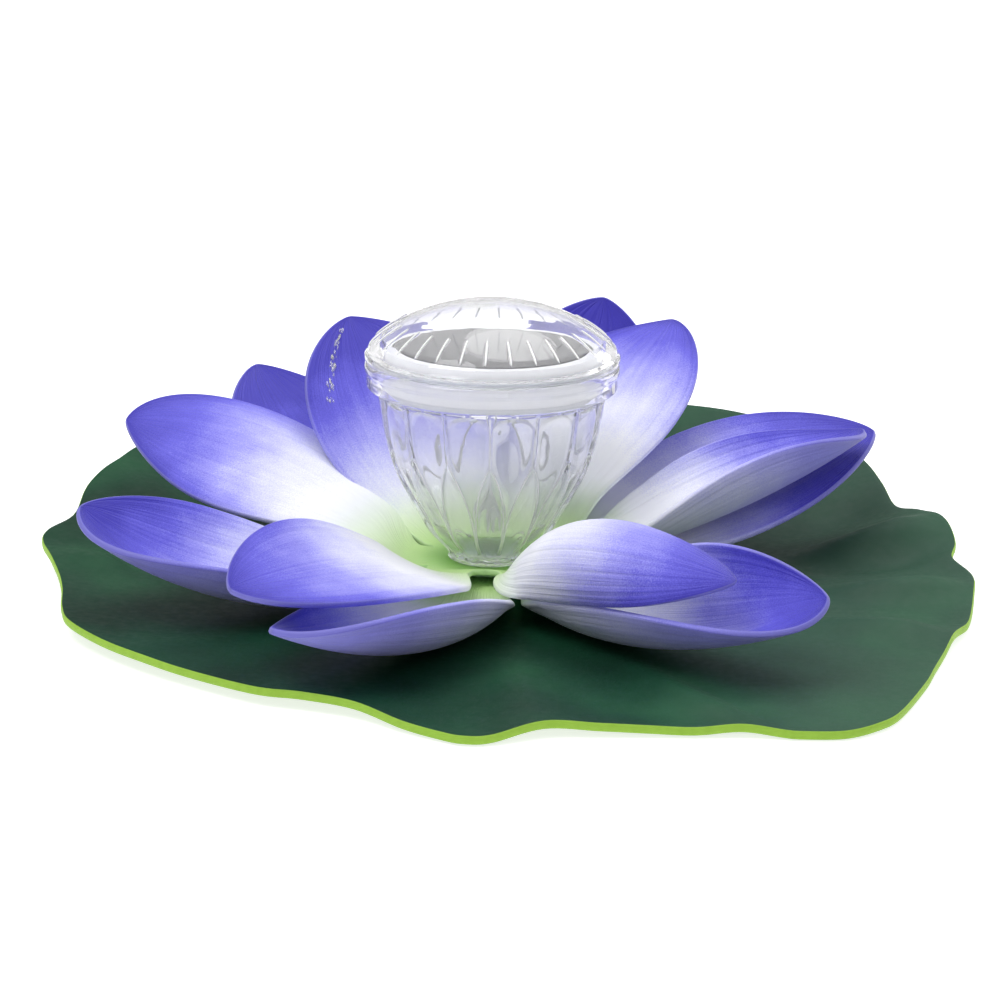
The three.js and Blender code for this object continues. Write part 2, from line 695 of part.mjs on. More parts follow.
add('battery_tab_plus', tabBody(batteryTopZ + gap, boardZ, tabSpacing / 2), 0xc4c2ba, 0.35, 0.9);
const tabMinusZ = batteryZ - gap - tabThickness;
add('battery_tab_minus', tabBody(tabMinusZ, boardTopZ, -tabSpacing / 2), 0xc4c2ba, 0.35, 0.9);

// ---- LED, hanging tip down on its leads ----
const ledTopZ = trayZ - ledDrop;
const ledTipZ = ledTopZ - ledLength;
const flangeLow = ledTopZ - ledFlangeHeight;
const tipArc = [];
for (let step = 0; step <= 5; step += 1) {
  const angle = Math.PI / 2 * step / 5;
  tipArc.push([step === 0 ? 0 : ledRadius * Math.sin(angle), ledTipZ + ledRadius * (1 - Math.cos(angle))]);
}
add('led_lamp', turned([
  ...tipArc,
  [ledRadius, flangeLow], [ledRadius + ledFlange, flangeLow], [ledRadius + ledFlange, ledTopZ], [0, ledTopZ],
], 20), 0xf4f6f2, 0.1);

for (const side of [-1, 1]) {
  const x = side * leadSpacing / 2;
  const half = leadWidth / 2;
  const lead = box([x - half, -half, ledTopZ + gap], [x + half, half, boardZ - gap]);
  add(`led_lead_${side < 0 ? 1 : 2}`, lead, 0xc9ccd0, 0.3, 0.9);
}

// ---- slide switch ----
const switchTopZ = boardZ - gap;
const switchZ = trayZ - switchReach;
const slotX = knobSize / 2 + gap;
const slotY = (knobSize + switchTravel) / 2 + gap;
const knobTopZ = switchZ - knobReach + knobHeight;
const slot = box([switchX - slotX, -slotY, switchZ - 1], [switchX + slotX, slotY, knobTopZ + gap]);
add('switch_body', box(
  [switchX - switchWidth / 2, -switchLength / 2, switchZ],
  [switchX + switchWidth / 2, switchLength / 2, switchTopZ],
).subtract(slot), 0xd4d6d8, 0.4);

// at rest the knob stands at the off end of its slot
const knobY = -switchTravel / 2;
add('switch_knob', box(
  [switchX - knobSize / 2, knobY - knobSize / 2, switchZ - knobReach],
  [switchX + knobSize / 2, knobY + knobSize / 2, knobTopZ],
), 0x1f2022, 0.5);

// ---- wires from the panel down to the board ----
function wireBody(x, y) {
  const low = boardTopZ + wireRise;
  const high = panelZ - wireRise;
  const toward = Math.sign(y);
  const path = new THREE.CatmullRomCurve3([
    new THREE.Vector3(x, y, low),
    new THREE.Vector3(x + 0.3, y + toward * 0.6, low + (high - low) * 0.4),
    new THREE.Vector3(x + wireSpan / 2, y + toward * 2, (low + high) / 2),
    new THREE.Vector3(x + wireSpan - 0.3, y + toward * 0.6, low + (high - low) * 0.6),
    new THREE.Vector3(x + wireSpan, y, high),
  ]);
  const section = new THREE.Shape().absarc(0, 0, wireRadius, 0, 2 * Math.PI);
  const geometry = new THREE.ExtrudeGeometry(section, { steps: 14, extrudePath: path, curveSegments: 4 });
  return solid(geometry);
}

add('panel_wire_red', wireBody(...wirePlaces[0]), 0xb02a26, 0.5);
add('panel_wire_black', wireBody(...wirePlaces[1]), 0x202124, 0.5);

export default light;
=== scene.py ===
# Floating lotus pool light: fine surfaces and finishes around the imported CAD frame.
import math

import bmesh
import bpy
import numpy as np
from mathutils import Matrix, Vector


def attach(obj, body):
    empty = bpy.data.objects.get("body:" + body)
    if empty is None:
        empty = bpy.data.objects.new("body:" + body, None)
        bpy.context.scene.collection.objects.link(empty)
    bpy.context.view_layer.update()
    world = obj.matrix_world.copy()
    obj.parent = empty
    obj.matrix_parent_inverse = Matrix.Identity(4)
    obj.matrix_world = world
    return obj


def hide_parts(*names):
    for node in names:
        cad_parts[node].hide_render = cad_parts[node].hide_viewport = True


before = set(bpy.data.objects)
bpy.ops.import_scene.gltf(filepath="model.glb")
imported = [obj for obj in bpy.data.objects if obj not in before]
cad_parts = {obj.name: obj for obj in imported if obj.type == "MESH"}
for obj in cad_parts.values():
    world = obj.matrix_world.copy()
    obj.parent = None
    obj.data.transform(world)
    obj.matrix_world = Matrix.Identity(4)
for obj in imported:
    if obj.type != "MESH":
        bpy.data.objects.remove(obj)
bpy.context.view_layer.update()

mm = 0.001
print("frame:", len(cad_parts), "nodes")

# camera: low in front, a little above the lid, rolled one degree
cameraLook = {"place": (3.1, -850.0, 257.4), "pitch": 15.1, "roll": 1.0, "lens": 105.3}


def addCamera(look):
    pitch, roll = math.radians(look["pitch"]), math.radians(look["roll"])
    ahead = np.array([0.0, math.cos(pitch), -math.sin(pitch)])
    right = np.array([1.0, 0.0, 0.0])
    up = np.cross(right, ahead)
    matrix = np.identity(4)
    matrix[:3, 0] = right * math.cos(roll) + up * math.sin(roll)
    matrix[:3, 1] = up * math.cos(roll) - right * math.sin(roll)
    matrix[:3, 2] = -ahead
    matrix[:3, 3] = np.array(look["place"]) * mm
    data = bpy.data.cameras.new("studioCamera")
    data.lens, data.sensor_width, data.clip_start = look["lens"], 36.0, 0.01
    camera = bpy.data.objects.new("studioCamera", data)
    camera.matrix_world = Matrix(matrix.tolist())
    bpy.context.scene.collection.objects.link(camera)
    bpy.context.scene.camera = camera


addCamera(cameraLook)

# mesh tools, all in millimetres


def smoothStep(value, low, high):  # 0 below low, 1 above high, level at both ends
    share = np.clip((value - low) / (high - low), 0.0, 1.0)
    return share * share * (3.0 - 2.0 * share)


def gridPart(points, closed=False, flip=False, **marks):
    # one grid of rows x columns x 3, quads between neighbours; closed joins the last column
    # to the first; marks are numbers kept on each point for the materials
    rows, columns = points.shape[:2]
    i = np.arange(rows - 1)[:, None]
    j = np.arange(columns if closed else columns - 1)[None, :]
    k = (j + 1) % columns
    corners = np.stack([i * columns + j, (i + 1) * columns + j, (i + 1) * columns + k, i * columns + k], -1)
    quads = corners.reshape(-1, 4)
    spread = {key: np.broadcast_to(value, (rows, columns)).ravel() for key, value in marks.items()}
    return points.reshape(-1, 3), quads[:, ::-1] if flip else quads, spread


def buildPiece(name, parts, sharp=None):
    # grids joined into one mesh; points that lie together are merged, which closes seams and poles
    mesh = bpy.data.meshes.new(name)
    offsets = np.cumsum([0] + [len(points) for points, quads, marks in parts])
    points = np.concatenate([points for points, quads, marks in parts])
    quads = np.concatenate([quads + start for (p, quads, m), start in zip(parts, offsets)])
    mesh.vertices.add(len(points))
    mesh.vertices.foreach_set("co", (points * mm).astype(np.float32).ravel())
    mesh.loops.add(quads.size)
    mesh.loops.foreach_set("vertex_index", quads.ravel().astype(np.int32))
    mesh.polygons.add(len(quads))
    mesh.polygons.foreach_set("loop_start", np.arange(0, quads.size, 4, dtype=np.int32))
    for key in sorted({key for p, q, marks in parts for key in marks}):
        values = np.concatenate([marks.get(key, np.zeros(len(p))) for p, q, marks in parts])
        mesh.attributes.new(key, "FLOAT", "POINT").data.foreach_set("value", values.astype(np.float32))
    mesh.update(calc_edges=True)
    work = bmesh.new()
    work.from_mesh(mesh)
    bmesh.ops.remove_doubles(work, verts=work.verts, dist=2e-6)
    work.to_mesh(mesh)
    work.free()
    mesh.polygons.foreach_set("use_smooth", np.ones(len(mesh.polygons), bool))
    if sharp:
        mesh.set_sharp_from_angle(angle=math.radians(sharp))
    mesh.update()
    piece = bpy.data.objects.new(name, mesh)
    bpy.context.scene.collection.objects.link(piece)
    return piece


def finishPiece(piece, body, slot, material, *nodes):
    piece.data.materials.clear()
    piece.data.materials.append(material)
    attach(piece, body)
    if nodes:
        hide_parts(*nodes)
    return piece


def roundedProfile(corners, radius, steps=4):
    # each inner corner of a profile becomes a small arc, never longer than 0.45 of its sides
    corners = [np.array(c, float) for c in corners]
    line = [corners[0]]
    for before, corner, after in zip(corners, corners[1:], corners[2:]):
        sideA, sideB = before - corner, after - corner
        reach = min(radius, 0.45 * np.linalg.norm(sideA), 0.45 * np.linalg.norm(sideB))
        start = corner + sideA / np.linalg.norm(sideA) * reach
        end = corner + sideB / np.linalg.norm(sideB) * reach
        for t in np.linspace(0, 1, steps):
            line.append((1 - t) ** 2 * start + 2 * t * (1 - t) * corner + t * t * end)
    line.append(corners[-1])
    return np.array(line)


def spunGrid(profile, angles, centre=(0.0, 0.0)):
    # radius and height of each profile point, carried round the Z axis
    radius, height = profile[:, :1], profile[:, 1:2]
    x = centre[0] + radius * np.cos(angles)[None, :]
    y = centre[1] + radius * np.sin(angles)[None, :]
    return np.stack([x, y, np.broadcast_to(height, x.shape)], -1)


def spunPiece(name, corners, columns=96, radius=0.3, centre=(0.0, 0.0), sharp=35, steps=4):
    # a turned piece whose profile runs from the axis (or from its own start) back to the axis
    profile = roundedProfile(corners, radius, steps)
    angles = np.linspace(0, 2 * np.pi, columns, endpoint=False)
    return buildPiece(name, [gridPart(spunGrid(profile, angles, centre), closed=True, flip=True)], sharp)


# material tools


def tone(code):  # sRGB hex to linear colour
    parts = [int(code[i:i + 2], 16) / 255 for i in (0, 2, 4)]
    return tuple(c / 12.92 if c <= 0.04045 else ((c + 0.055) / 1.055) ** 2.4 for c in parts) + (1.0,)


def addNode(tree, kind, inputs=None, stops=None, out=None, **settings):
    # a shader node with its settings, its inputs (numbers or other sockets) and a ramp's stops;
    # out picks the output socket to return in place of the node
    node = tree.nodes.new("ShaderNode" + kind)
    for key, value in settings.items():
        setattr(node, key, value)
    for key, value in (inputs or {}).items():
        if isinstance(value, bpy.types.NodeSocket):
            tree.links.new(value, node.inputs[key])
        else:
            node.inputs[key].default_value = value
    if stops:
        ramp = node.color_ramp
        while len(ramp.elements) < len(stops):
            ramp.elements.new(0.5)
        for element, (place, colour) in zip(ramp.elements, stops):
            element.position, element.color = place, colour
    return node.outputs[out] if isinstance(out, int) else node


def newMaterial(name, inputs):
    # an empty material with a Principled shader that has these constants
    material = bpy.data.materials.new(name)
    material.use_nodes = True
    tree = material.node_tree
    tree.nodes.clear()
    shader = addNode(tree, "BsdfPrincipled", inputs)
    addNode(tree, "OutputMaterial", {"Surface": shader.outputs[0]})
    return material, tree, shader


# stack of the pieces along the lamp's axis, the same sizes as the CAD
stack = {
    "gap": 0.3, "sheetGap": 0.45, "capRadius": 22.0, "capThickness": 3.0, "capPlug": 5.0, "sheetHole": 8.0,
    "leafThickness": 2.4, "petalThickness": 1.8, "leafFloorGap": 0.4,
    "spigotRadius": 7.5, "spigotWall": 1.8, "cupHeight": 52.7, "flangeHeight": 7.5,
}
leafZ = stack["capThickness"] + stack["gap"]
outerZ = leafZ + stack["leafThickness"] + stack["sheetGap"]
innerZ = outerZ + stack["petalThickness"] + stack["sheetGap"]
cupZ = innerZ + stack["petalThickness"] + stack["gap"]
flangeZ = cupZ + stack["cupHeight"]
cupTopZ = flangeZ + stack["flangeHeight"]
lidZ = cupTopZ + stack["gap"]

# petal foam: EVA sheet, heat-formed over a mould and airbrushed from the tip
# matt closed-cell foam: soft sheen, lengthwise moulded veins, a fine speckle from the spray
petalTones = {
    "bare": "F4F5FB", "pale": "D2D3F5", "mid": "9896EA", "strong": "5D58D3", "deep": "3C35B0",
    "green": "7FD23C", "greenPale": "CFF0A0", "edge": "DCDDF6", "under": "B9BAE9",
    "speckle": 2600.0, "driftScale": 70.0, "veinScale": 13.0,
}


def petalFoam():
    material, tree, shader = newMaterial("airbrushedEvaFoam", {
        "Roughness": 0.5, "Specular IOR Level": 0.35, "IOR": 1.48,
        "Sheen Weight": 0.1, "Sheen Roughness": 0.4,
    })
    keys = ("along", "across", "face", "spray", "petal")
    read = {key: addNode(tree, "Attribute", out=2, attribute_name=key) for key in keys}
    place = addNode(tree, "TexCoord", out=3)
    # veins run along the petal: streaks in "across" that hardly change along it
    wide = addNode(tree, "Math", {0: read["across"], 1: petalTones["veinScale"]}, out=0, operation="MULTIPLY")
    far = addNode(tree, "Math", {0: read["along"], 1: 0.9}, out=0, operation="MULTIPLY")
    veinPlace = addNode(tree, "CombineXYZ", {0: wide, 1: far, 2: read["petal"]}, out=0)
    veins = addNode(tree, "TexNoise", {
        "Vector": veinPlace, "Scale": 1.0, "Detail": 3.0, "Roughness": 0.55}, out=0)
    # airbrush grain of about 0.4 mm and slow drifts of about 14 mm
    grain, drift = (
        addNode(tree, "TexNoise", {"Vector": place, "Scale": petalTones[key], "Detail": 2.0}, out=0)
        for key in ("speckle", "driftScale"))

    # the blue grows towards the tip and a little towards the long edges
    near = addNode(tree, "Math", {0: read["across"]}, out=0, operation="ABSOLUTE")
    near = addNode(tree, "Math", {0: near, 1: 4.0}, out=0, operation="POWER")
    reach = addNode(tree, "Math", {0: near, 1: 0.12, 2: read["along"]}, out=0, operation="MULTIPLY_ADD")
    for field, weight in ((veins, 0.11), (drift, 0.2), (grain, 0.24)):
        centred = addNode(tree, "Math", {0: field, 1: 0.5}, out=0, operation="SUBTRACT")
        reach = addNode(tree, "Math", {0: centred, 1: weight, 2: reach}, out=0, operation="MULTIPLY_ADD")
    reach = addNode(tree, "Math", {0: reach, 1: read["spray"]}, out=0)
    colour = addNode(tree, "ValToRGB", {0: reach}, [
        (0.36, tone(petalTones["bare"])), (0.52, tone(petalTones["pale"])), (0.68, tone(petalTones["mid"])),
        (0.84, tone(petalTones["strong"])), (1.0, tone(petalTones["deep"])),
    ], out=0)
    # green dye round the hole fades out over the first fifth of a petal
    for low, high, dye in ((0.0, 0.3, "greenPale"), (-0.3, 0.13, "green")):
        share = addNode(tree, "MapRange", {0: read["along"], 1: low, 2: high, 3: 1.0, 4: 0.0}, out=0,
                        interpolation_type="SMOOTHSTEP")
        colour = addNode(tree, "Mix", {0: share, 6: colour, 7: tone(petalTones[dye])}, out=2,
                         data_type="RGBA")
    # the back of the sheet took a little overspray, mostly along its rims
    back = addNode(tree, "MapRange", {0: read["face"], 1: 0.02, 2: 0.2, 3: 0.35, 4: 0.0}, out=0)
    colour = addNode(tree, "Mix", {0: back, 6: colour, 7: tone(petalTones["under"])}, out=2, data_type="RGBA")
    # the cut edge is barely touched by the spray
    middle = addNode(tree, "Math", {0: read["face"], 1: 0.5}, out=0, operation="SUBTRACT")
    middle = addNode(tree, "Math", {0: middle}, out=0, operation="ABSOLUTE")
    cut = addNode(tree, "MapRange", {0: middle, 1: 0.1, 2: 0.45, 3: 0.16, 4: 0.0}, out=0)
    colour = addNode(tree, "Mix", {0: cut, 6: colour, 7: tone(petalTones["edge"])}, out=2, data_type="RGBA")
    tree.links.new(colour, shader.inputs["Base Color"])
    height = addNode(tree, "Math", {0: grain, 1: 0.08, 2: veins}, out=0, operation="MULTIPLY_ADD")
    bump = addNode(tree, "Bump", {"Strength": 0.5, "Distance": 0.0013, "Height": height}, out=0)
    tree.links.new(bump, shader.inputs["Normal"])
    return material


# rows of a cut edge, from the upper face to the lower one, in degrees
edgeTurns = np.radians([90, 60, 25, -25, -60, -90])[:, None, None]

# the same two sheets of six petals as the CAD; spray shifts how far the blue reaches
petalSheet = {
    "rootRadius": 22.0, "neck": 0.35, "neckRound": 1.3, "belly": 0.55, "lift": 0.08, "free": 0.25,
    "rootBlend": 0.2, "tipStart": 2.2, "tip": 0.7, "swayPower": 1.5,
    "archOver": "CE", "archAngle": -93.0, "archWidth": 32.0, "archOut": 3.5, "archUp": 3.6,
    "archIn": (14.5, 22.0), "archEnd": (27.0, 46.0),
    "notchRadius": 20.6, "notchDepth": 1.3, "sectorHalf": 30.0, "edgeRound": 0.55,
    "rows": 112, "columns": 41, "webRows": 7,
}
innerPetals = [
    dict(name="A", azimuth=153, length=105, width=58, slope=34, bend=-29, curl=(-12, -20), sway=27,
         twist=(0, -29), root=177, spray=0.02),
    dict(name="C", azimuth=-116, length=103, width=47, slope=28, bend=-32, curl=(12, 16), sway=-26,
         twist=(-12, -18), root=237, spray=0),
    dict(name="E", azimuth=-76, length=105, width=43, slope=55, bend=-82, curl=(-70, -95), sway=72,
         twist=(44, 12), root=297, spray=0),
    dict(name="H", azimuth=9, length=104, width=53, slope=12, bend=16, curl=(60, 88), sway=20,
         twist=(6, -7), root=-3, spray=-0.02),
    dict(name="I", azimuth=57, length=99, width=56, slope=55, bend=-33, curl=(38, -41), sway=-6,
         twist=(-30, -10), root=57, spray=-0.05),
    dict(name="K", azimuth=118, length=93, width=57, slope=38, bend=3, curl=(10, 49), sway=6,
         twist=(-11, -4), root=117, spray=0.16),
]
outerPetals = [
    dict(name="B", azimuth=-153, length=111, width=57, slope=-13, bend=55, curl=(91, 17), sway=-24,
         twist=(-18, -27), root=197, spray=0.06),
    dict(name="D", azimuth=-100, length=111, width=54, slope=-12, bend=38, curl=(78, 45), sway=-52,
         twist=(-6, 8), root=257, spray=0),
    dict(name="F", azimuth=-56, length=112, width=58, slope=-13, bend=44, curl=(80, 93), sway=40,
         twist=(4, 32), root=317, spray=0),
    dict(name="G", azimuth=27, length=111, width=59, slope=16, bend=5, curl=(27, 6), sway=-25,
         twist=(12, 14), root=17, spray=0.04),
    dict(name="J", azimuth=71, length=104, width=57, slope=18, bend=46, curl=(40, 1), sway=-9,
         twist=(7, 25), root=77, spray=0.09),
    dict(name="L", azimuth=132, length=103, width=57, slope=10, bend=30, curl=(-4, 22), sway=2,
         twist=(-2, 2), root=137, spray=0.16),
]


def widthShare(along, sheet):
    # from the neck a sine swell to the belly, then a rounded fall to the tip
    rise = np.sin(np.pi / 2 * np.clip(along / sheet["belly"], 0, 1)) ** sheet["neckRound"]
    past = np.clip((along - sheet["belly"]) / (1 - sheet["belly"]), 0, 1)
    swell = sheet["neck"] + (1 - sheet["neck"]) * rise
    return np.where(along < sheet["belly"], swell, (1 - past ** sheet["tipStart"]) ** sheet["tip"])


def petalSurface(petal, rootHeight, along, across, sheet):
    # the midrib is the running sum of its heading; across it each side is an arc whose angle
    # grows with the local width; near the root the outline follows its own sixth of the web
    fine = np.linspace(0, 1, 801)

    def heading(share):
        slope = np.radians(petal["slope"] * smoothStep(share, 0, sheet["lift"]) + petal["bend"] * share)
        turn = np.radians(petal["azimuth"] + petal["sway"] * share ** sheet["swayPower"])
        ahead = np.stack([np.cos(slope) * np.cos(turn), np.cos(slope) * np.sin(turn), np.sin(slope)], -1)
        return ahead, np.stack([-np.sin(turn), np.cos(turn), 0 * turn], -1)

    steps = heading((fine[1:] + fine[:-1]) / 2)[0] * petal["length"] / (len(fine) - 1)
    azimuth = math.radians(petal["azimuth"])
    root = sheet["rootRadius"]
    start = np.array([root * math.cos(azimuth), root * math.sin(azimuth), rootHeight])
    midrib = start + np.concatenate([np.zeros((1, 3)), np.cumsum(steps, 0)])
    centre = [np.interp(along, fine, midrib[:, axis]) for axis in range(3)]
    centre = np.stack(centre, -1)[:, None, :]
    ahead, left = heading(along)
    up = np.cross(ahead, left)
    free = smoothStep(along, 0, sheet["free"])
    roll = np.radians((petal["twist"][0] + (petal["twist"][1] - petal["twist"][0]) * along) * free)[:, None]
    side = (left * np.cos(roll) + up * np.sin(roll))[:, None, :]
    lift = (up * np.cos(roll) - left * np.sin(roll))[:, None, :]
    share = widthShare(along, sheet)[:, None]
    half = petal["width"] / 2 * share
    curl = np.where(across > 0, petal["curl"][0], petal["curl"][1])[None, :]
    curl = np.radians(curl * share) * free[:, None]
    curl = np.where(np.abs(curl) < 1e-4, 1e-4, curl)
    angle = np.abs(across)[None, :] * curl
    out = np.sign(across)[None, :] * half * np.sin(angle) / curl
    rise = half * (1 - np.cos(angle)) / curl
    points = centre + side * out[..., None] + lift * rise[..., None]
    # the web's own sector: straight out from the hole at this petal's root direction
    radius = sheet["rootRadius"] + petal["length"] * along[:, None]
    turn = math.radians(petal["root"]) + across[None, :] * np.arcsin(np.clip(half / radius, 0, 0.95))
    keep = 1 - smoothStep(along, 0, sheet["rootBlend"])[:, None]
    points[..., 0] += keep * (radius * np.cos(turn) - points[..., 0])
    points[..., 1] += keep * (radius * np.sin(turn) - points[..., 1])
    return points


def petalParts(petal, bottom, sheet, thickness):
    # rows run from the hole, over the web and its rounded notches, to the tip
    half = thickness / 2
    height = bottom + half
    web = np.concatenate([
        np.linspace(stack["sheetHole"], sheet["notchRadius"], sheet["webRows"]),
        sheet["notchRadius"] + sheet["notchDepth"] * np.array([0.04, 0.15, 0.35, 0.65]),
    ])
    across = np.linspace(-1, 1, sheet["columns"])
    along = 1 - (1 - np.linspace(0, 1, sheet["rows"])) ** 1.7
    along = along * 0.9994
    root, notch = sheet["rootRadius"], sheet["notchRadius"]
    petalRoot = math.degrees(math.asin(petal["width"] / 2 * sheet["neck"] / root))
    bite = np.clip((web - notch) / (root - notch), 0, 1)
    spread = sheet["sectorHalf"] - (sheet["sectorHalf"] - petalRoot) * np.sqrt(1 - (1 - bite) ** 2)
    turn = np.radians(petal["root"] + across[None, :] * spread[:, None])
    level = np.full(turn.shape, height)
    webPoints = np.stack([web[:, None] * np.cos(turn), web[:, None] * np.sin(turn), level], -1)
    points = np.concatenate([webPoints, petalSurface(petal, height, along, across, sheet)])
    if petal["name"] in sheet["archOver"]:
        # between the two front petals the web arches up and outward over the sheet below
        radius = np.hypot(points[..., 0], points[..., 1])
        away = np.degrees(np.arctan2(points[..., 1], points[..., 0])) - sheet["archAngle"]
        arch = np.exp(-((away + 180) % 360 - 180) ** 2 / sheet["archWidth"] ** 2)
        arch = arch * smoothStep(radius, *sheet["archIn"]) * (1 - smoothStep(radius, *sheet["archEnd"]))
        points[..., :2] *= (1 + sheet["archOut"] * arch / radius)[..., None]
        points[..., 2] += sheet["archUp"] * arch
    place = np.concatenate([(web - sheet["rootRadius"]) / 60.0, along])
    normals = np.cross(np.gradient(points, axis=0), np.gradient(points, axis=1))
    normals /= np.linalg.norm(normals, axis=-1, keepdims=True)
    flat = 1 - smoothStep(place, 0.01, 0.06)[:, None, None]
    normals = normals * (1 - flat) + np.array([0, 0, 1.0]) * flat
    normals /= np.linalg.norm(normals, axis=-1, keepdims=True)
    # the petal's own number keeps its veins unlike its neighbours'
    seed = float(ord(petal["name"]) % 13)
    marks = dict(along=place[:, None], across=across[None, :], spray=petal["spray"], petal=seed)
    parts = [gridPart(points + normals * half, face=1.0, **marks),
             gridPart(points - normals * half, flip=True, face=0.0, **marks)]
    # the cut edge runs from one notch round the tip to the other notch
    first = sheet["webRows"] - 1
    last = len(place) - 1
    chain = [(i, -1) for i in range(first, last + 1)]
    chain += [(last, j) for j in range(sheet["columns"] - 2, 0, -1)]
    chain += [(i, 0) for i in range(last, first - 1, -1)]
    rows = np.array([c[0] for c in chain])
    columns = np.array([c[1] % sheet["columns"] for c in chain])
    line, lineNormal = points[rows, columns], normals[rows, columns]
    outward = np.cross(lineNormal, np.gradient(line, axis=0))
    outward /= np.linalg.norm(outward, axis=-1, keepdims=True)
    for end in (0, -1):
        outward[end] = line[end] * np.array([1, 1, 0]) / np.linalg.norm(line[end][:2])
    # the edge's roundness grows over the first 3 mm from either notch
    fromFirst = np.clip(np.linalg.norm(line - line[0], axis=-1), 0, 3)
    fromLast = np.clip(np.linalg.norm(line - line[-1], axis=-1), 0, 3)
    swell = (sheet["edgeRound"] * (0.15 + 0.85 * (fromFirst * fromLast / 9)))[None, :, None]
    rim = line + outward * swell * np.cos(edgeTurns) + lineNormal * half * np.sin(edgeTurns)
    rimFace = np.array([1.0, 0.62, 0.5, 0.5, 0.38, 0.0])[:, None]
    parts.append(gridPart(rim, flip=True, face=rimFace, along=place[rows][None, :],
                          across=across[columns][None, :], spray=petal["spray"], petal=seed))
    hole = np.stack([points[0] + normals[0] * half, points[0] - normals[0] * half])
    parts.append(gridPart(hole, flip=True, face=0.5, along=place[0], across=across[None, :],
                          spray=0.0, petal=0.0))
    return parts


def dropsPiece(petal, bottom, sheet, drops):
    # each drop is a ball, flattened and drawn out along the petal, half sunk in its upper face
    rng = np.random.default_rng(drops["seed"])
    along = np.sort(rng.uniform(*drops["along"], drops["count"]))
    across = drops["across"] + drops["slant"] * (along - along.mean())
    across = across + rng.uniform(-0.05, 0.05, drops["count"])
    middle = bottom + stack["petalThickness"] / 2
    base = petalSurface(petal, middle, along, across, sheet)
    step = petalSurface(petal, middle, along + 0.01, across, sheet)
    aside = petalSurface(petal, middle, along, across + 0.02, sheet)
    each = np.arange(drops["count"])
    place, ahead, side = base[each, each], (step - base)[each, each], (aside - base)[each, each]
    ahead /= np.linalg.norm(ahead, axis=-1, keepdims=True)
    up = np.cross(ahead, side)
    up /= np.linalg.norm(up, axis=-1, keepdims=True)
    side = np.cross(up, ahead)
    place = place + up * (stack["petalThickness"] / 2 - 0.05)
    size = rng.uniform(*drops["size"], drops["count"])
    tilt = np.linspace(0, np.pi, 9)[:, None]
    turn = np.linspace(0, 2 * np.pi, 14, endpoint=False)[None, :]
    parts = []
    for k in each:
        ball = (ahead[k] * (np.sin(tilt) * np.cos(turn) * size[k] * drops["long"])[..., None]
                + side[k] * (np.sin(tilt) * np.sin(turn) * size[k] * drops["wide"])[..., None]
                + up[k] * (np.cos(tilt) * size[k] * drops["high"] + 0 * turn)[..., None])
        parts.append(gridPart(place[k] + ball, closed=True))
    return buildPiece("glueDrops", parts)


foam = petalFoam()
for name, petals, bottom, node in (("innerPetals", innerPetals, innerZ, "inner_petals"),
                                   ("outerPetals", outerPetals, outerZ, "outer_petals")):
    thickness = stack["petalThickness"]
    parts = [part for petal in petals for part in petalParts(petal, bottom, petalSheet, thickness)]
    finishPiece(buildPiece(name, parts), "float", "petal_foam", foam, node)
print("petals done")

# leaf: EVA sheet, dark green skin over lime foam, heat-formed into waves
leafSheet = {
    "hub": 23.5, "flat": 42.0, "rise": 62.0, "sectors": 360, "rings": 84, "edgeRound": 0.5,
    "weaveScale": 38.5,
    # folds: direction, half width in degrees, where they begin as a share of the radius, height
    "folds": [
        (-63, 3, 0.45, 2.4), (-57, 4, 0.5, -1), (-22, 3, 0.62, 4.1), (-13, 4, 0.66, -2.4), (-4, 3, 0.6, 4.4),
        (6, 3, 0.62, -2.7), (14, 3, 0.6, 4.4), (26, 4, 0.6, -3.1), (152, 4, 0.75, 2.7), (163, 3, 0.7, -2),
        (181, 4, 0.8, 3.1), (222, 5, 0.7, 1.4), (-86, 4, 0.55, 1.4),
    ],
    "edge": [
        (-89, 138.6, 1.8), (-83, 133.2, 3.6), (-77, 134.7, 3), (-72, 137.4, 2.4), (-67, 141.6, 1.9),
        (-62, 146.7, 2.2), (-58, 154.3, 1.8), (-54, 160.5, 1.8), (-50, 161.3, 1.9), (-46, 158.9, 2),
        (-37, 150.3, 2), (-31, 145.9, 2.2), (-20, 143, 3.2), (-14.5, 144.3, 3.4), (-6, 145, 4.2),
        (0, 146, 6), (4.5, 142, 9), (8.6, 145.4, 11), (12.5, 145.4, 14), (18.4, 143.3, 14),
        (23, 141, 13), (29, 144.7, 17), (37, 150, 21), (46, 148, 25), (60, 147, 27), (80, 142, 26),
        (98, 139, 24), (115, 142, 23), (130, 144, 22.5), (142, 144.4, 21), (149, 142.6, 18),
        (154, 141.6, 15.5), (158, 139.5, 14), (166, 134.6, 11), (172, 137.5, 10), (176, 136.5, 8.5),
        (187, 129, 7.5), (194.5, 128.3, 7), (201.5, 131, 6), (207, 132.1, 5.5), (216, 129.4, 4.6),
        (225.5, 127.1, 4.2), (240, 126.2, 4.2), (247, 124.3, 4.4), (254, 125.1, 4),
        (260.5, 131.9, 2.4), (265, 137, 1.9), (267.8, 139.7, 1.8),
    ],
}


def curveThrough(a, b, c, d, f):
    # uniform Catmull-Rom: the cubic from b to c whose slopes there follow a to c and b to d
    square, cube = (2 * a - 5 * b + 4 * c - d) * f ** 2, (3 * b - a - 3 * c + d) * f ** 3
    return 0.5 * (2 * b + (c - a) * f + square + cube)


def closedCurve(points, count):
    # uniform Catmull-Rom curve through the points, closed
    t = np.linspace(0, len(points), count, endpoint=False)
    i, f = t.astype(int), (t % 1)[:, None]
    a, b, c, d = (points[(i + k) % len(points)] for k in (-1, 0, 1, 2))
    return curveThrough(a, b, c, d, f)


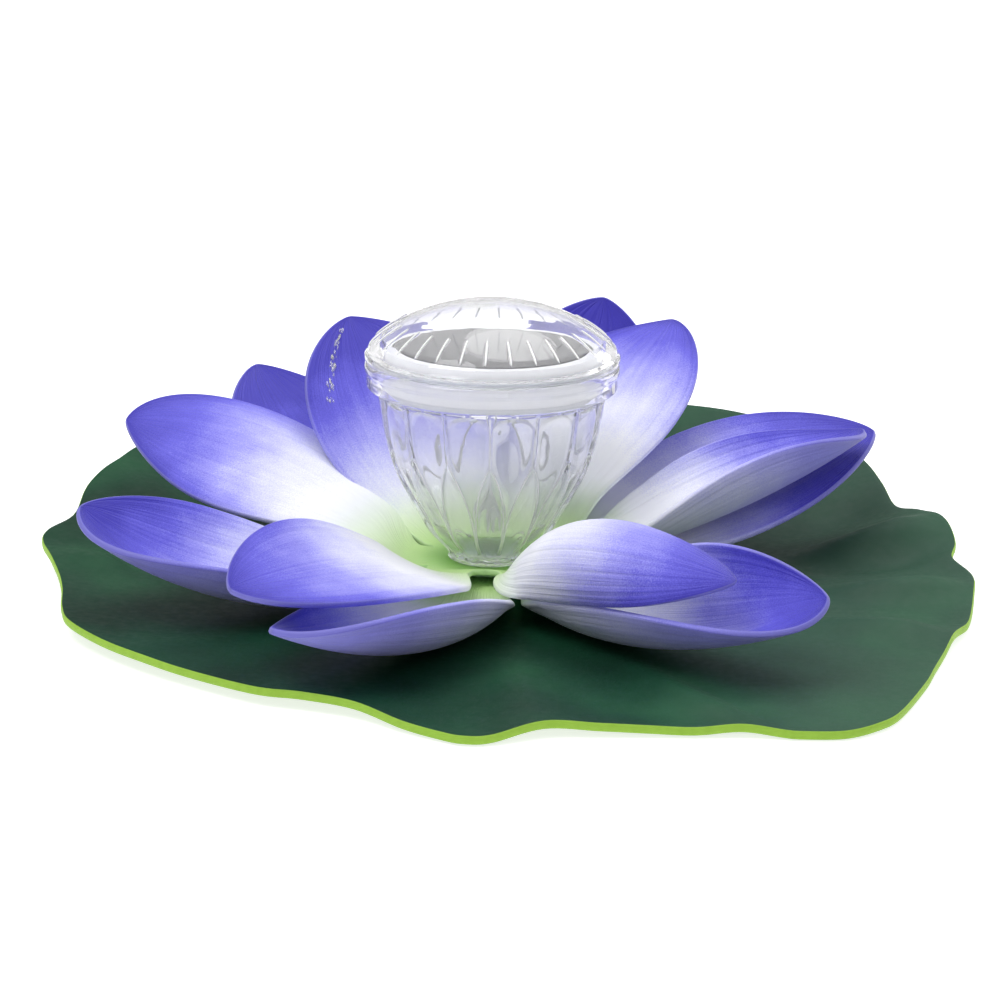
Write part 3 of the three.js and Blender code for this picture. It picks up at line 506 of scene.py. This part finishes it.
def leafFoam():
    material, tree, shader = newMaterial("embossedEvaLeaf", {"Specular IOR Level": 0.16, "IOR": 1.48})
    face = addNode(tree, "Attribute", out=2, attribute_name="face")
    place = addNode(tree, "TexCoord", out=3)
    cloud = addNode(tree, "TexNoise", {"Vector": place, "Scale": 22.0, "Detail": 3.0}, out=0)
    mottle = addNode(tree, "TexNoise", {"Vector": place, "Scale": 420.0, "Detail": 3.0}, out=0)
    top = addNode(tree, "ValToRGB", {0: cloud}, [
        (0.3, tone("0A2D1E")), (0.52, tone("103D28")), (0.72, tone("1B4E31"))], out=0)
    # painted sheen: the +X side of the leaf is mixed towards a pale grey-green that stands in for the grey
    # reflection of the lights on that side
    side = addNode(tree, "SeparateXYZ", {0: place}, out=0)
    drifted = addNode(tree, "Math", {0: cloud, 1: 0.05, 2: side}, out=0, operation="MULTIPLY_ADD")
    paintedSheen = addNode(tree, "MapRange", {0: drifted, 1: 0.06, 2: 0.12, 3: 0.0, 4: 0.3},
                    out=0, interpolation_type="SMOOTHSTEP")
    top = addNode(tree, "Mix", {0: paintedSheen, 6: top, 7: tone("4E6B5C")}, out=2, data_type="RGBA")
    lime = addNode(tree, "Mix", {0: mottle, 6: tone("86AE38"), 7: tone("9CC44C")}, out=2, data_type="RGBA")
    under = addNode(tree, "MapRange", {0: face, 1: 0.05, 2: 0.3, 3: 1.0, 4: 0.0}, out=0)
    lime = addNode(tree, "Mix", {0: under, 6: lime, 7: tone("6F8F48")}, out=2, data_type="RGBA")
    share = addNode(tree, "MapRange", {0: face, 1: 0.8, 2: 0.95}, out=0)
    colour = addNode(tree, "Mix", {0: share, 6: lime, 7: top}, out=2, data_type="RGBA")
    tree.links.new(colour, shader.inputs["Base Color"])
    # the skin carries a fine woven emboss, threads 1.3 mm apart
    weave = [addNode(tree, "TexWave", {"Vector": place, "Scale": leafSheet["weaveScale"], "Distortion": 0.4},
                     out=1, bands_direction=axis) for axis in ("X", "Y")]
    threads = addNode(tree, "Math", {0: weave[0], 1: weave[1]}, out=0)
    height = addNode(tree, "Math", {0: threads, 1: 0.25, 2: mottle}, out=0, operation="MULTIPLY_ADD")
    bump = addNode(tree, "Bump", {"Strength": 0.3, "Distance": 0.0003, "Height": height}, out=0)
    tree.links.new(bump, shader.inputs["Normal"])
    rough = addNode(tree, "MapRange", {0: mottle, 1: 0.3, 2: 0.7, 3: 0.46, 4: 0.58}, out=0)
    tree.links.new(rough, shader.inputs["Roughness"])
    return material


def leafParts(leaf):
    # rings from the hole to the edge; the edge's height comes in with the square of the way out
    half = stack["leafThickness"] / 2
    corner = np.array([(r * math.cos(math.radians(a)), r * math.sin(math.radians(a)), z)
                       for a, r, z in leaf["edge"]])
    edge = closedCurve(corner, leaf["sectors"])
    edgeRadius = np.hypot(edge[:, 0], edge[:, 1])[None, :]
    share = np.linspace(0, 1, leaf["rings"])[:, None] ** 0.9
    radius = stack["sheetHole"] + (edgeRadius - stack["sheetHole"]) * share
    hubHeight, floorHeight = leafZ + half, stack["leafFloorGap"] + half
    height = hubHeight + (floorHeight - hubHeight) * smoothStep(radius, leaf["hub"], leaf["flat"])
    out = np.clip((radius - leaf["rise"]) / (edgeRadius - leaf["rise"]), 0, 1)
    height = height + (edge[:, 2][None, :] - floorHeight) * out ** 2
    unit = edge[:, :2] / edgeRadius.T
    around = np.degrees(np.arctan2(edge[:, 1], edge[:, 0]))[None, :]
    for direction, width, start, swell in leaf["folds"]:
        # a fold is a long swell: a bell across its direction that rises from its start to the edge
        # and sinks to 0.3 of its height at the edge itself
        away, outShare = (around - direction + 180) % 360 - 180, radius / edgeRadius
        fold = swell * np.exp(-(away / width) ** 2) * smoothStep(outShare, start, 0.88)
        height = height + fold * (1 - 0.7 * smoothStep(outShare, 0.9, 1.0))
    height = np.maximum(height, floorHeight)
    points = np.stack([radius * unit[:, 0], radius * unit[:, 1], height], -1)
    normals = np.broadcast_to(np.array([0, 0, 1.0]), points.shape)
    parts = [gridPart(points + normals * half, closed=True, face=1.0),
             gridPart(points - normals * half, closed=True, flip=True, face=0.0)]
    outward = np.concatenate([unit, np.zeros((len(unit), 1))], 1)
    rim = points[-1] + outward * leaf["edgeRound"] * np.cos(edgeTurns)
    rim = rim + np.array([0, 0, half]) * np.sin(edgeTurns)
    parts.append(gridPart(rim, closed=True, face=np.array([1.0, 0.5, 0.5, 0.5, 0.5, 0.0])[:, None]))
    hole = np.stack([points[0] + normals[0] * half, points[0] - normals[0] * half])
    parts.append(gridPart(hole, closed=True, flip=True, face=0.5))
    return parts


finishPiece(buildPiece("lilyLeaf", leafParts(leafSheet)), "float", "leaf_foam", leafFoam(),
            "lily_leaf")
print("leaf done")

# clear plastic: moulded polystyrene, polished, almost colourless


def clearPlastic(name, tint, roughness, ior=1.2, clear=1.0):
    # clear is the share of light that passes; the rest is milk in the plastic
    material, tree, shader = newMaterial(name, {
        "Roughness": roughness, "IOR": ior, "Transmission Weight": clear, "Base Color": tone(tint),
        "Coat Weight": 0.7, "Coat Roughness": 0.04, "Coat IOR": 1.57,
    })
    place = addNode(tree, "TexCoord", out=3)
    # mould flow: slow changes of a few millimetres, a few microns deep
    flow = addNode(tree, "TexNoise", {"Vector": place, "Scale": 160.0, "Detail": 2.0}, out=0)
    bump = addNode(tree, "Bump", {"Strength": 0.12, "Distance": 0.0006, "Height": flow}, out=0)
    tree.links.new(bump, shader.inputs["Normal"])
    return material


cupPlastic = clearPlastic("mouldedClearPolystyrene", "FEFEFF", 0.04, 1.16, 0.9)
domePlastic = clearPlastic("polishedClearDome", "FEFEFF", 0.02, 1.06, 0.94)

# drops of clear glue left on one of the back petals
glueDrops = {"seed": 7, "count": 46, "along": (0.66, 0.95), "across": 0.62, "slant": -0.75,
             "size": (0.3, 0.7), "long": 1.8, "wide": 0.7, "high": 0.6}
finishPiece(dropsPiece(innerPetals[5], innerZ, petalSheet, glueDrops), "float", "clear_plastic",
            clearPlastic("driedClearGlue", "FFFFFF", 0.05, 1.3, 0.8))

# lamp cup: two tiers of lotus flutes on the outside, smooth inside
cupShape = {
    "baseRadius": 12.5, "shoulderRadius": 34.6, "wall": 1.8, "floor": 2.2, "flangeRadius": 38.0,
    "mouthWall": 1.4, "gasketWidth": 1.9, "flutes": 15, "lowerHeight": 1.5, "upperHeight": 1.1,
    "lowerTop": 0.66, "lineRadius": 0.3, "lineSink": 1.1, "columnsPerFlute": 24, "turn": -90.0,
    "lowerWide": 0.47, "lowerStart": 0.28, "lowerRound": 0.8,
    # height and reach as shares, from the foot to the shoulder
    "swell": [(0, 0), (0.04, 0.06), (0.28, 0.17), (0.44, 0.28), (0.6, 0.4), (0.79, 0.56),
              (0.92, 0.76), (0.985, 0.945), (1, 1)],
}
seatRadius = cupShape["shoulderRadius"] - cupShape["mouthWall"]
rebateRadius = seatRadius + cupShape["gasketWidth"] + 2 * stack["gap"]
gasketThickness = 1.7
gasketZ = lidZ + stack["gap"] + 0.5 - gasketThickness


def smoothLine(points, count):
    # Catmull-Rom curve through the points, open, evenly spread
    points = np.array(points, float)
    points = np.concatenate([2 * points[:1] - points[1:2], points, 2 * points[-1:] - points[-2:-1]])
    t = np.linspace(0, len(points) - 3 - 1e-9, count)
    i, f = t.astype(int), (t % 1)[:, None]
    a, b, c, d = (points[i + k] for k in range(4))
    return curveThrough(a, b, c, d, f)


def lowerWidth(up, shape):
    # half width of a lower petal in its cell: a sine that starts part way and ends at its point
    start = shape["lowerStart"]
    turn = np.pi * np.clip(start + (1 - start) * up / shape["lowerTop"], 0, 1)
    return shape["lowerWide"] * np.sin(turn) ** shape["lowerRound"]


def fluteHeight(up, cell, shape):
    # cell is -0.5 to 0.5 across a lower petal. A petal is a round-backed rib as wide as its
    # outline; lower petals end in a point, upper ones are arches that hang from the rim
    lowerWide = np.where(up < shape["lowerTop"], lowerWidth(up, shape), 1e-6)
    lower = np.sqrt(np.clip(1 - (cell / np.maximum(lowerWide, 1e-6)) ** 2, 0, 1)) * shape["lowerHeight"]
    other = np.abs(cell) - 0.5
    arch = np.sqrt(np.clip(1 - (np.clip(up - 0.87, 0, 1) / 0.09) ** 2, 0, 1))
    upperWide = (0.12 + 0.34 * smoothStep(up, 0.3, 0.75)) * arch
    upper = np.sqrt(np.clip(1 - (other / np.maximum(upperWide, 1e-6)) ** 2, 0, 1)) * shape["upperHeight"]
    return np.maximum(lower, upper) * smoothStep(up, 0.0, 0.05)


def cupPiece(shape):
    # a profile up the outside and down the inside, carried round; the bowl's outside also
    # takes the flutes' height less their crest, so that crests reach the CAD's outside
    swell = smoothLine(shape["swell"], 110)
    foot, shoulder, floorTop = shape["baseRadius"], shape["shoulderRadius"], cupZ + shape["floor"]
    reach = foot + (shoulder - foot) * swell[:, 0]
    bowl = np.stack([reach, cupZ + swell[:, 1] * stack["cupHeight"]], -1)
    insideHeight = floorTop + swell[:, 1] * (stack["cupHeight"] - shape["floor"])
    inside = np.stack([reach - shape["wall"] - 0.2, insideHeight], -1)[::-2]
    spigot = stack["spigotRadius"]
    bore = spigot - stack["spigotWall"]
    base = roundedProfile([
        (0, cupZ), (bore, cupZ), (bore, leafZ), (spigot, leafZ), (spigot, cupZ),
        (foot - 0.6, cupZ), (foot, cupZ + 0.6),
    ], 0.4)
    flange = shape["flangeRadius"]
    rim = roundedProfile([
        (shoulder, flangeZ - 0.4), (shoulder, flangeZ), (flange - 1, flangeZ),
        (flange - 0.6, flangeZ + 0.6), (flange - 0.6, cupTopZ - 3.2), (flange, cupTopZ - 2.4),
        (flange, cupTopZ - 0.8), (flange - 0.6, cupTopZ), (rebateRadius, cupTopZ),
        (rebateRadius, gasketZ - 0.3), (seatRadius, gasketZ - 0.3),
        (seatRadius, flangeZ - 1), (seatRadius, flangeZ - 2),
    ], 0.35)
    inside = inside[(inside[:, 1] < flangeZ - 2.5) & (inside[:, 0] < seatRadius)]
    end = np.array([(foot - shape["wall"] - 1, floorTop), (0, floorTop)])
    bowl = bowl[bowl[:, 1] > cupZ + 0.9]
    bowl = bowl[bowl[:, 1] < flangeZ - 0.5]
    profile = np.concatenate([base, bowl, rim, inside, end])
    fluted = np.zeros(len(profile), bool)
    fluted[len(base):len(base) + len(bowl)] = True
    columns = shape["flutes"] * shape["columnsPerFlute"]
    angles = np.radians(shape["turn"]) + np.linspace(0, 2 * np.pi, columns, endpoint=False)
    points = spunGrid(profile, angles)
    cell = (np.arange(columns) / shape["columnsPerFlute"] + 0.5) % 1 - 0.5
    up = np.clip((profile[:, 1:2] - cupZ) / stack["cupHeight"], 0, 1)
    crest = max(shape["lowerHeight"], shape["upperHeight"])
    fade = smoothStep(up, 0.0, 0.05) * (1 - smoothStep(up, 0.95, 0.985))
    shift = np.where(fluted[:, None], (fluteHeight(up, cell[None, :], shape) - crest) * fade, 0.0)
    points[..., 0] += shift * np.cos(angles)
    points[..., 1] += shift * np.sin(angles)
    return buildPiece("lampCup", [gridPart(points, closed=True, flip=True)], 50)


finishPiece(cupPiece(cupShape), "float", "clear_plastic", cupPlastic, "lamp_cup")


def fluteLines(shape):
    # a near-opaque white round bar follows both sides of each lower flute up to its point: a painted
    # highlight for the bright outline of the clear flute
    up = np.linspace(0.07, shape["lowerTop"] - 0.004, 40)
    swell = smoothLine(shape["swell"], 400)
    foot, shoulder = shape["baseRadius"], shape["shoulderRadius"]
    reach = foot + (shoulder - foot) * np.interp(up, swell[:, 1], swell[:, 0])
    wide = lowerWidth(up, shape)
    turn = np.radians(np.linspace(0, 360, 10, endpoint=False))[None, :]
    thick = (shape["lineRadius"] * np.sqrt(np.clip(1 - np.linspace(-1, 1, 40) ** 8, 0, 1)))[:, None]
    parts = []
    for flute in range(shape["flutes"]):
        for side in (-1, 1):
            middle = np.radians(shape["turn"] + (flute + side * wide) * 360 / shape["flutes"])[:, None]
            angle = middle + thick * np.cos(turn) / reach[:, None]
            radius = reach[:, None] - shape["lineSink"] + thick * np.sin(turn)
            height = np.broadcast_to((cupZ + up * stack["cupHeight"])[:, None], radius.shape)
            bar = np.stack([radius * np.cos(angle), radius * np.sin(angle), height], -1)
            parts.append(gridPart(bar, closed=True, flip=True))
    return buildPiece("cupFluteLines", parts)


# the flute bars are painted highlights: near-opaque white in place of the light on the clear flutes' edges
finishPiece(fluteLines(cupShape), "float", "clear_plastic",
            clearPlastic("paintedHighlightFlutePlastic", "FFFFFF", 0.25, 1.12, 0.1))

# base cap under the sheets
plugRadius = stack["spigotRadius"] - stack["spigotWall"] - stack["gap"]
capTop = stack["capThickness"]
finishPiece(spunPiece("baseCap", [
    (0, 0), (stack["capRadius"], 0), (stack["capRadius"], capTop), (plugRadius + 1, capTop),
    (plugRadius, capTop + 0.6), (plugRadius, capTop + stack["capPlug"]), (0, capTop + stack["capPlug"]),
], 120, 0.6), "float", "clear_plastic", cupPlastic, "base_cap")

# gasket
rubber = clearPlastic("milkySiliconeRing", "E9ECEF", 0.35, 1.41)
gasketLow, gasketHigh = seatRadius + stack["gap"], seatRadius + stack["gap"] + cupShape["gasketWidth"]
gasketMiddleZ, gasketTopZ = gasketZ + gasketThickness / 2, gasketZ + gasketThickness
gasketLine = roundedProfile([
    (gasketLow, gasketMiddleZ), (gasketLow, gasketZ), (gasketHigh, gasketZ),
    (gasketHigh, gasketTopZ), (gasketLow, gasketTopZ), (gasketLow, gasketMiddleZ),
], 0.5)
ringAngles = np.linspace(0, 2 * np.pi, 160, endpoint=False)
finishPiece(buildPiece("lidGasket", [gridPart(spunGrid(gasketLine, ringAngles), closed=True, flip=True)]),
            "seal", "clear_rubber", rubber, "lid_gasket")

# dome lens with thirty short ribs
domeShape = {"flange": 38.0, "flangeHeight": 3.4, "wall": 1.6, "rise": 15.0, "sink": 0.9, "power": 0.75,
             "inside": 32.7, "ribs": 30, "ribHeight": 0.3, "ribHalf": 0.45, "ribFrom": 27.5, "ribTo": 35.6,
             "ribTurn": 3, "barRadius": 0.32}


def domePiece(shape):
    # height is the foot plus the rise times one less the square of radius over reach, to the power
    # 0.75, outside and inside; a rib is a narrow round swell across its own direction and a long
    # flat one along it
    top = lidZ + shape["flangeHeight"]

    def arc(reach, rise, start, count):
        radius = start * np.cos(np.linspace(0, np.pi / 2, count))
        radius[-1] = 0
        swell = rise * (1 - (radius / reach) ** 2) ** shape["power"]
        return np.stack([radius, top - shape["sink"] + swell], -1)

    rise = shape["rise"] + shape["sink"]
    outside = arc(shape["flange"], rise, shape["flange"] - 1.4, 64)
    inside = arc(shape["flange"] - shape["wall"], rise - shape["wall"], shape["inside"], 40)[::-1]
    gasketTop = gasketZ + gasketThickness + stack["gap"]
    flange = shape["flange"]
    skirt = roundedProfile([
        inside[-1], (shape["inside"], gasketTop), (rebateRadius, gasketTop), (rebateRadius, lidZ),
        (flange - 0.6, lidZ), (flange, lidZ + 0.8), (flange, lidZ + 2.2), (flange - 0.8, top - 0.2),
        outside[0],
    ], 0.3)
    profile = np.concatenate([inside[:-1], skirt, outside[1:]])
    ribbed = np.zeros(len(profile), bool)
    ribbed[-len(outside) + 1:] = True
    cell = 360 / shape["ribs"]
    near = [0.2, 0.4, 0.65, 0.9, 1.3, 2.4, 4.2]
    offsets = np.array([-cell / 2] + [-step for step in near[::-1]] + [0] + near)
    angles = (np.arange(shape["ribs"])[:, None] * cell + offsets[None, :]).ravel()
    angles = np.radians(angles + shape["ribTurn"])
    points = spunGrid(profile, angles)
    across = np.radians(np.tile(offsets, shape["ribs"]))[None, :] * profile[:, :1]
    over = np.exp(-(across / shape["ribHalf"]) ** 2)
    begins = smoothStep(profile[:, :1], shape["ribFrom"], shape["ribFrom"] + 0.8)
    window = begins * (1 - smoothStep(profile[:, :1], shape["ribTo"] - 0.8, shape["ribTo"]))
    points[..., 2] += np.where(ribbed[:, None], over * window * shape["ribHeight"], 0)
    return buildPiece("domeLens", [gridPart(points, closed=True, flip=True)], 50)


finishPiece(domePiece(domeShape), "lid", "clear_plastic", domePlastic, "dome_lens")


def ribTops(shape):
    # a frosted round bar along each rib: half a circle across, pulled in at both ends
    radius = np.linspace(shape["ribFrom"], shape["ribTo"], 14)[:, None]
    swell = (1 - (radius / shape["flange"]) ** 2) ** shape["power"]
    top = lidZ + shape["flangeHeight"] - shape["sink"] + (shape["rise"] + shape["sink"]) * swell
    pinch = np.sqrt(np.clip(1 - np.linspace(-1, 1, 14) ** 6, 0, 1))[:, None]
    turn = np.radians(np.linspace(0, 360, 12, endpoint=False))[None, :]
    side = shape["barRadius"] * pinch * np.cos(turn)
    rise = shape["barRadius"] * pinch * np.sin(turn) + 0.25
    parts = []
    for angle in np.radians(np.arange(shape["ribs"]) * 360 / shape["ribs"] + shape["ribTurn"]):
        x = radius * np.cos(angle) - side * np.sin(angle)
        y = radius * np.sin(angle) + side * np.cos(angle)
        parts.append(gridPart(np.stack([x, y, top + rise], -1), closed=True))
    return buildPiece("domeRibs", parts)


finishPiece(ribTops(domeShape), "lid", "clear_plastic",
            clearPlastic("frostedRibPlastic", "FFFFFF", 0.3, 1.12, 0.1))
print("lamp done")


# hard parts keep their CAD shape and take a finish of their own
def plainFinish(name, colour, roughness, metallic=0.0, grain=900.0, depth=0.05, second=None):
    # a plain moulded, drawn or plated surface: two close tones in a fine cloud
    material, tree, shader = newMaterial(name, {"Roughness": roughness, "Metallic": metallic})
    place = addNode(tree, "TexCoord", out=3)
    cloud = addNode(tree, "TexNoise", {"Vector": place, "Scale": grain, "Detail": 3.0}, out=0)
    shade = addNode(tree, "Mix", {0: cloud, 6: tone(colour), 7: tone(second or colour)}, out=2,
                    data_type="RGBA")
    tree.links.new(shade, shader.inputs["Base Color"])
    bump = addNode(tree, "Bump", {"Strength": 0.3, "Distance": depth * mm, "Height": cloud}, out=0)
    tree.links.new(bump, shader.inputs["Normal"])
    return material


def cellFinish(name):
    # dark silicon crossed by silver fingers 2 mm apart and 0.16 mm wide
    material, tree, shader = newMaterial(name, {"Roughness": 0.3, "Specular IOR Level": 0.3})
    place = addNode(tree, "TexCoord", out=3)
    axis = addNode(tree, "SeparateXYZ", {0: place}, out=1)
    cloud = addNode(tree, "TexNoise", {"Vector": place, "Scale": 500.0, "Detail": 3.0}, out=0)
    silicon = addNode(tree, "Mix", {0: cloud, 6: tone("2A2C32"), 7: tone("1C1D22")}, out=2,
                      data_type="RGBA")
    step = addNode(tree, "Math", {0: axis, 1: 500.0}, out=0, operation="MULTIPLY")
    step = addNode(tree, "Math", {0: step}, out=0, operation="FRACT")
    finger = addNode(tree, "Math", {0: step, 1: 0.08}, out=0, operation="LESS_THAN")
    colour = addNode(tree, "Mix", {0: finger, 6: silicon, 7: tone("8C8F96")}, out=2, data_type="RGBA")
    tree.links.new(colour, shader.inputs["Base Color"])
    return material


finishes = {
    "module_tray": plainFinish("mouldedWhiteAbs", "F3F4F7", 0.32, second="EBEDF1"),
    "switch_body": plainFinish("mouldedGreyAbs", "C9CBCD", 0.4, second="BFC2C4"),
    "panel_board": plainFinish("glassEpoxyBack", "26352C", 0.45, second="1E2B24"),
    "circuit_board": plainFinish("greenSolderMask", "2F7A4C", 0.35, second="276A41"),
    "driver_chip": plainFinish("mouldedBlackEpoxy", "1B1C1E", 0.55, second="242528"),
    "choke_coil": plainFinish("ferriteDrum", "303236", 0.6, second="3A3C41"),
    "switch_knob": plainFinish("mouldedBlackNylon", "1C1D1F", 0.5, second="242528"),
    "panel_wire_black": plainFinish("blackPvcSleeve", "17181A", 0.4, second="202124"),
    "panel_wire_red": plainFinish("redPvcSleeve", "A4201C", 0.4, second="B42A24"),
    "pcb_screw_1": plainFinish("zincPlatedSteel", "B9BCC0", 0.28, 1.0, second="A9ADB2"),
    "battery_tab_plus": plainFinish("nickelStrip", "C4C2BA", 0.3, 1.0, second="B5B2A9"),
    "led_lead_1": plainFinish("tinnedSteelLead", "C9CCD0", 0.25, 1.0, second="BABDC2"),
    "battery_cell": plainFinish("nickelPlatedCan", "B4B7BA", 0.25, 1.0, second="A5A9AD"),
    "led_lamp": clearPlastic("castClearEpoxy", "F4F8F4", 0.04, 1.54),
    # cast clear resin over dark cells, drawn as one opaque dark gloss: it hides the cells
    "panel_resin": plainFinish("castPanelResin", "23252A", 0.12, second="1A1B1F"),
    "cell_strip_1": cellFinish("polishedSiliconCell"),
}
alike = (("pcb_screw_2", "pcb_screw_1"), ("battery_tab_minus", "battery_tab_plus"),
         ("led_lead_2", "led_lead_1"), ("cell_strip_2", "cell_strip_1"),
         ("cell_strip_3", "cell_strip_1"), ("cell_strip_4", "cell_strip_1"))
for same, first in alike:
    finishes[same] = finishes[first]
for node, material in finishes.items():
    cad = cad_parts[node]
    cad.data.materials.clear()
    cad.data.materials.append(material)

# studio: pale floor, white surround, soft lights
floorMaterial, floorTree, floorShader = newMaterial("paleStudioFloor", {
    "Base Color": tone("C9C9CB"), "Roughness": 0.9,
    "Emission Color": (1.0, 1.0, 1.0, 1.0), "Emission Strength": 0.72,
})
floorCorners = [[[x, y, -0.02] for x in (-3000.0, 3000.0)] for y in (-2000.0, 4000.0)]
floorPart = gridPart(np.array(floorCorners), flip=True)
floor = buildPiece("studioFloor", [floorPart])
floor.data.materials.append(floorMaterial)


def softLight(name, place, aim, size, power):
    data = bpy.data.lights.new(name, "AREA")
    data.energy, data.size, data.shape = power, size, "DISK"
    lamp = bpy.data.objects.new(name, data)
    lamp.location = place
    lamp.rotation_euler = (Vector(aim) - Vector(place)).to_track_quat("-Z", "Y").to_euler()
    bpy.context.scene.collection.objects.link(lamp)


softLight("softKey", (-0.45, -0.25, 1.0), (0, 0, 0.03), 0.6, 4.5)
softLight("softTop", (0.15, 0.35, 1.1), (0, 0, 0.03), 0.8, 4.5)
softLight("softRim", (0.85, 0.75, 0.42), (0.08, 0, 0.02), 0.5, 2.2)

# the surround is white behind the light and shades from grey low down to white overhead
world = bpy.data.worlds.new("whiteSurround")
world.use_nodes = True
sky = world.node_tree
sky.nodes.clear()
rays = addNode(sky, "LightPath")
seen = addNode(sky, "Math", {0: rays.outputs["Is Camera Ray"], 1: rays.outputs["Is Transmission Ray"]},
               out=0, operation="MAXIMUM")
height = addNode(sky, "SeparateXYZ", {0: addNode(sky, "TexCoord", out=0)}, out=2)
shade = addNode(sky, "MapRange", {0: height, 1: -0.1, 2: 0.9, 3: 0.26, 4: 0.86}, out=0)
strength = addNode(sky, "Mix", {0: seen, 2: shade, 3: 1.0}, out=0, data_type="FLOAT")
surround = addNode(sky, "Background", {"Color": (1.0, 1.0, 1.0, 1.0), "Strength": strength}, out=0)
addNode(sky, "OutputWorld", {"Surface": surround})
bpy.context.scene.world = world
bpy.context.scene.view_settings.view_transform = "Standard"
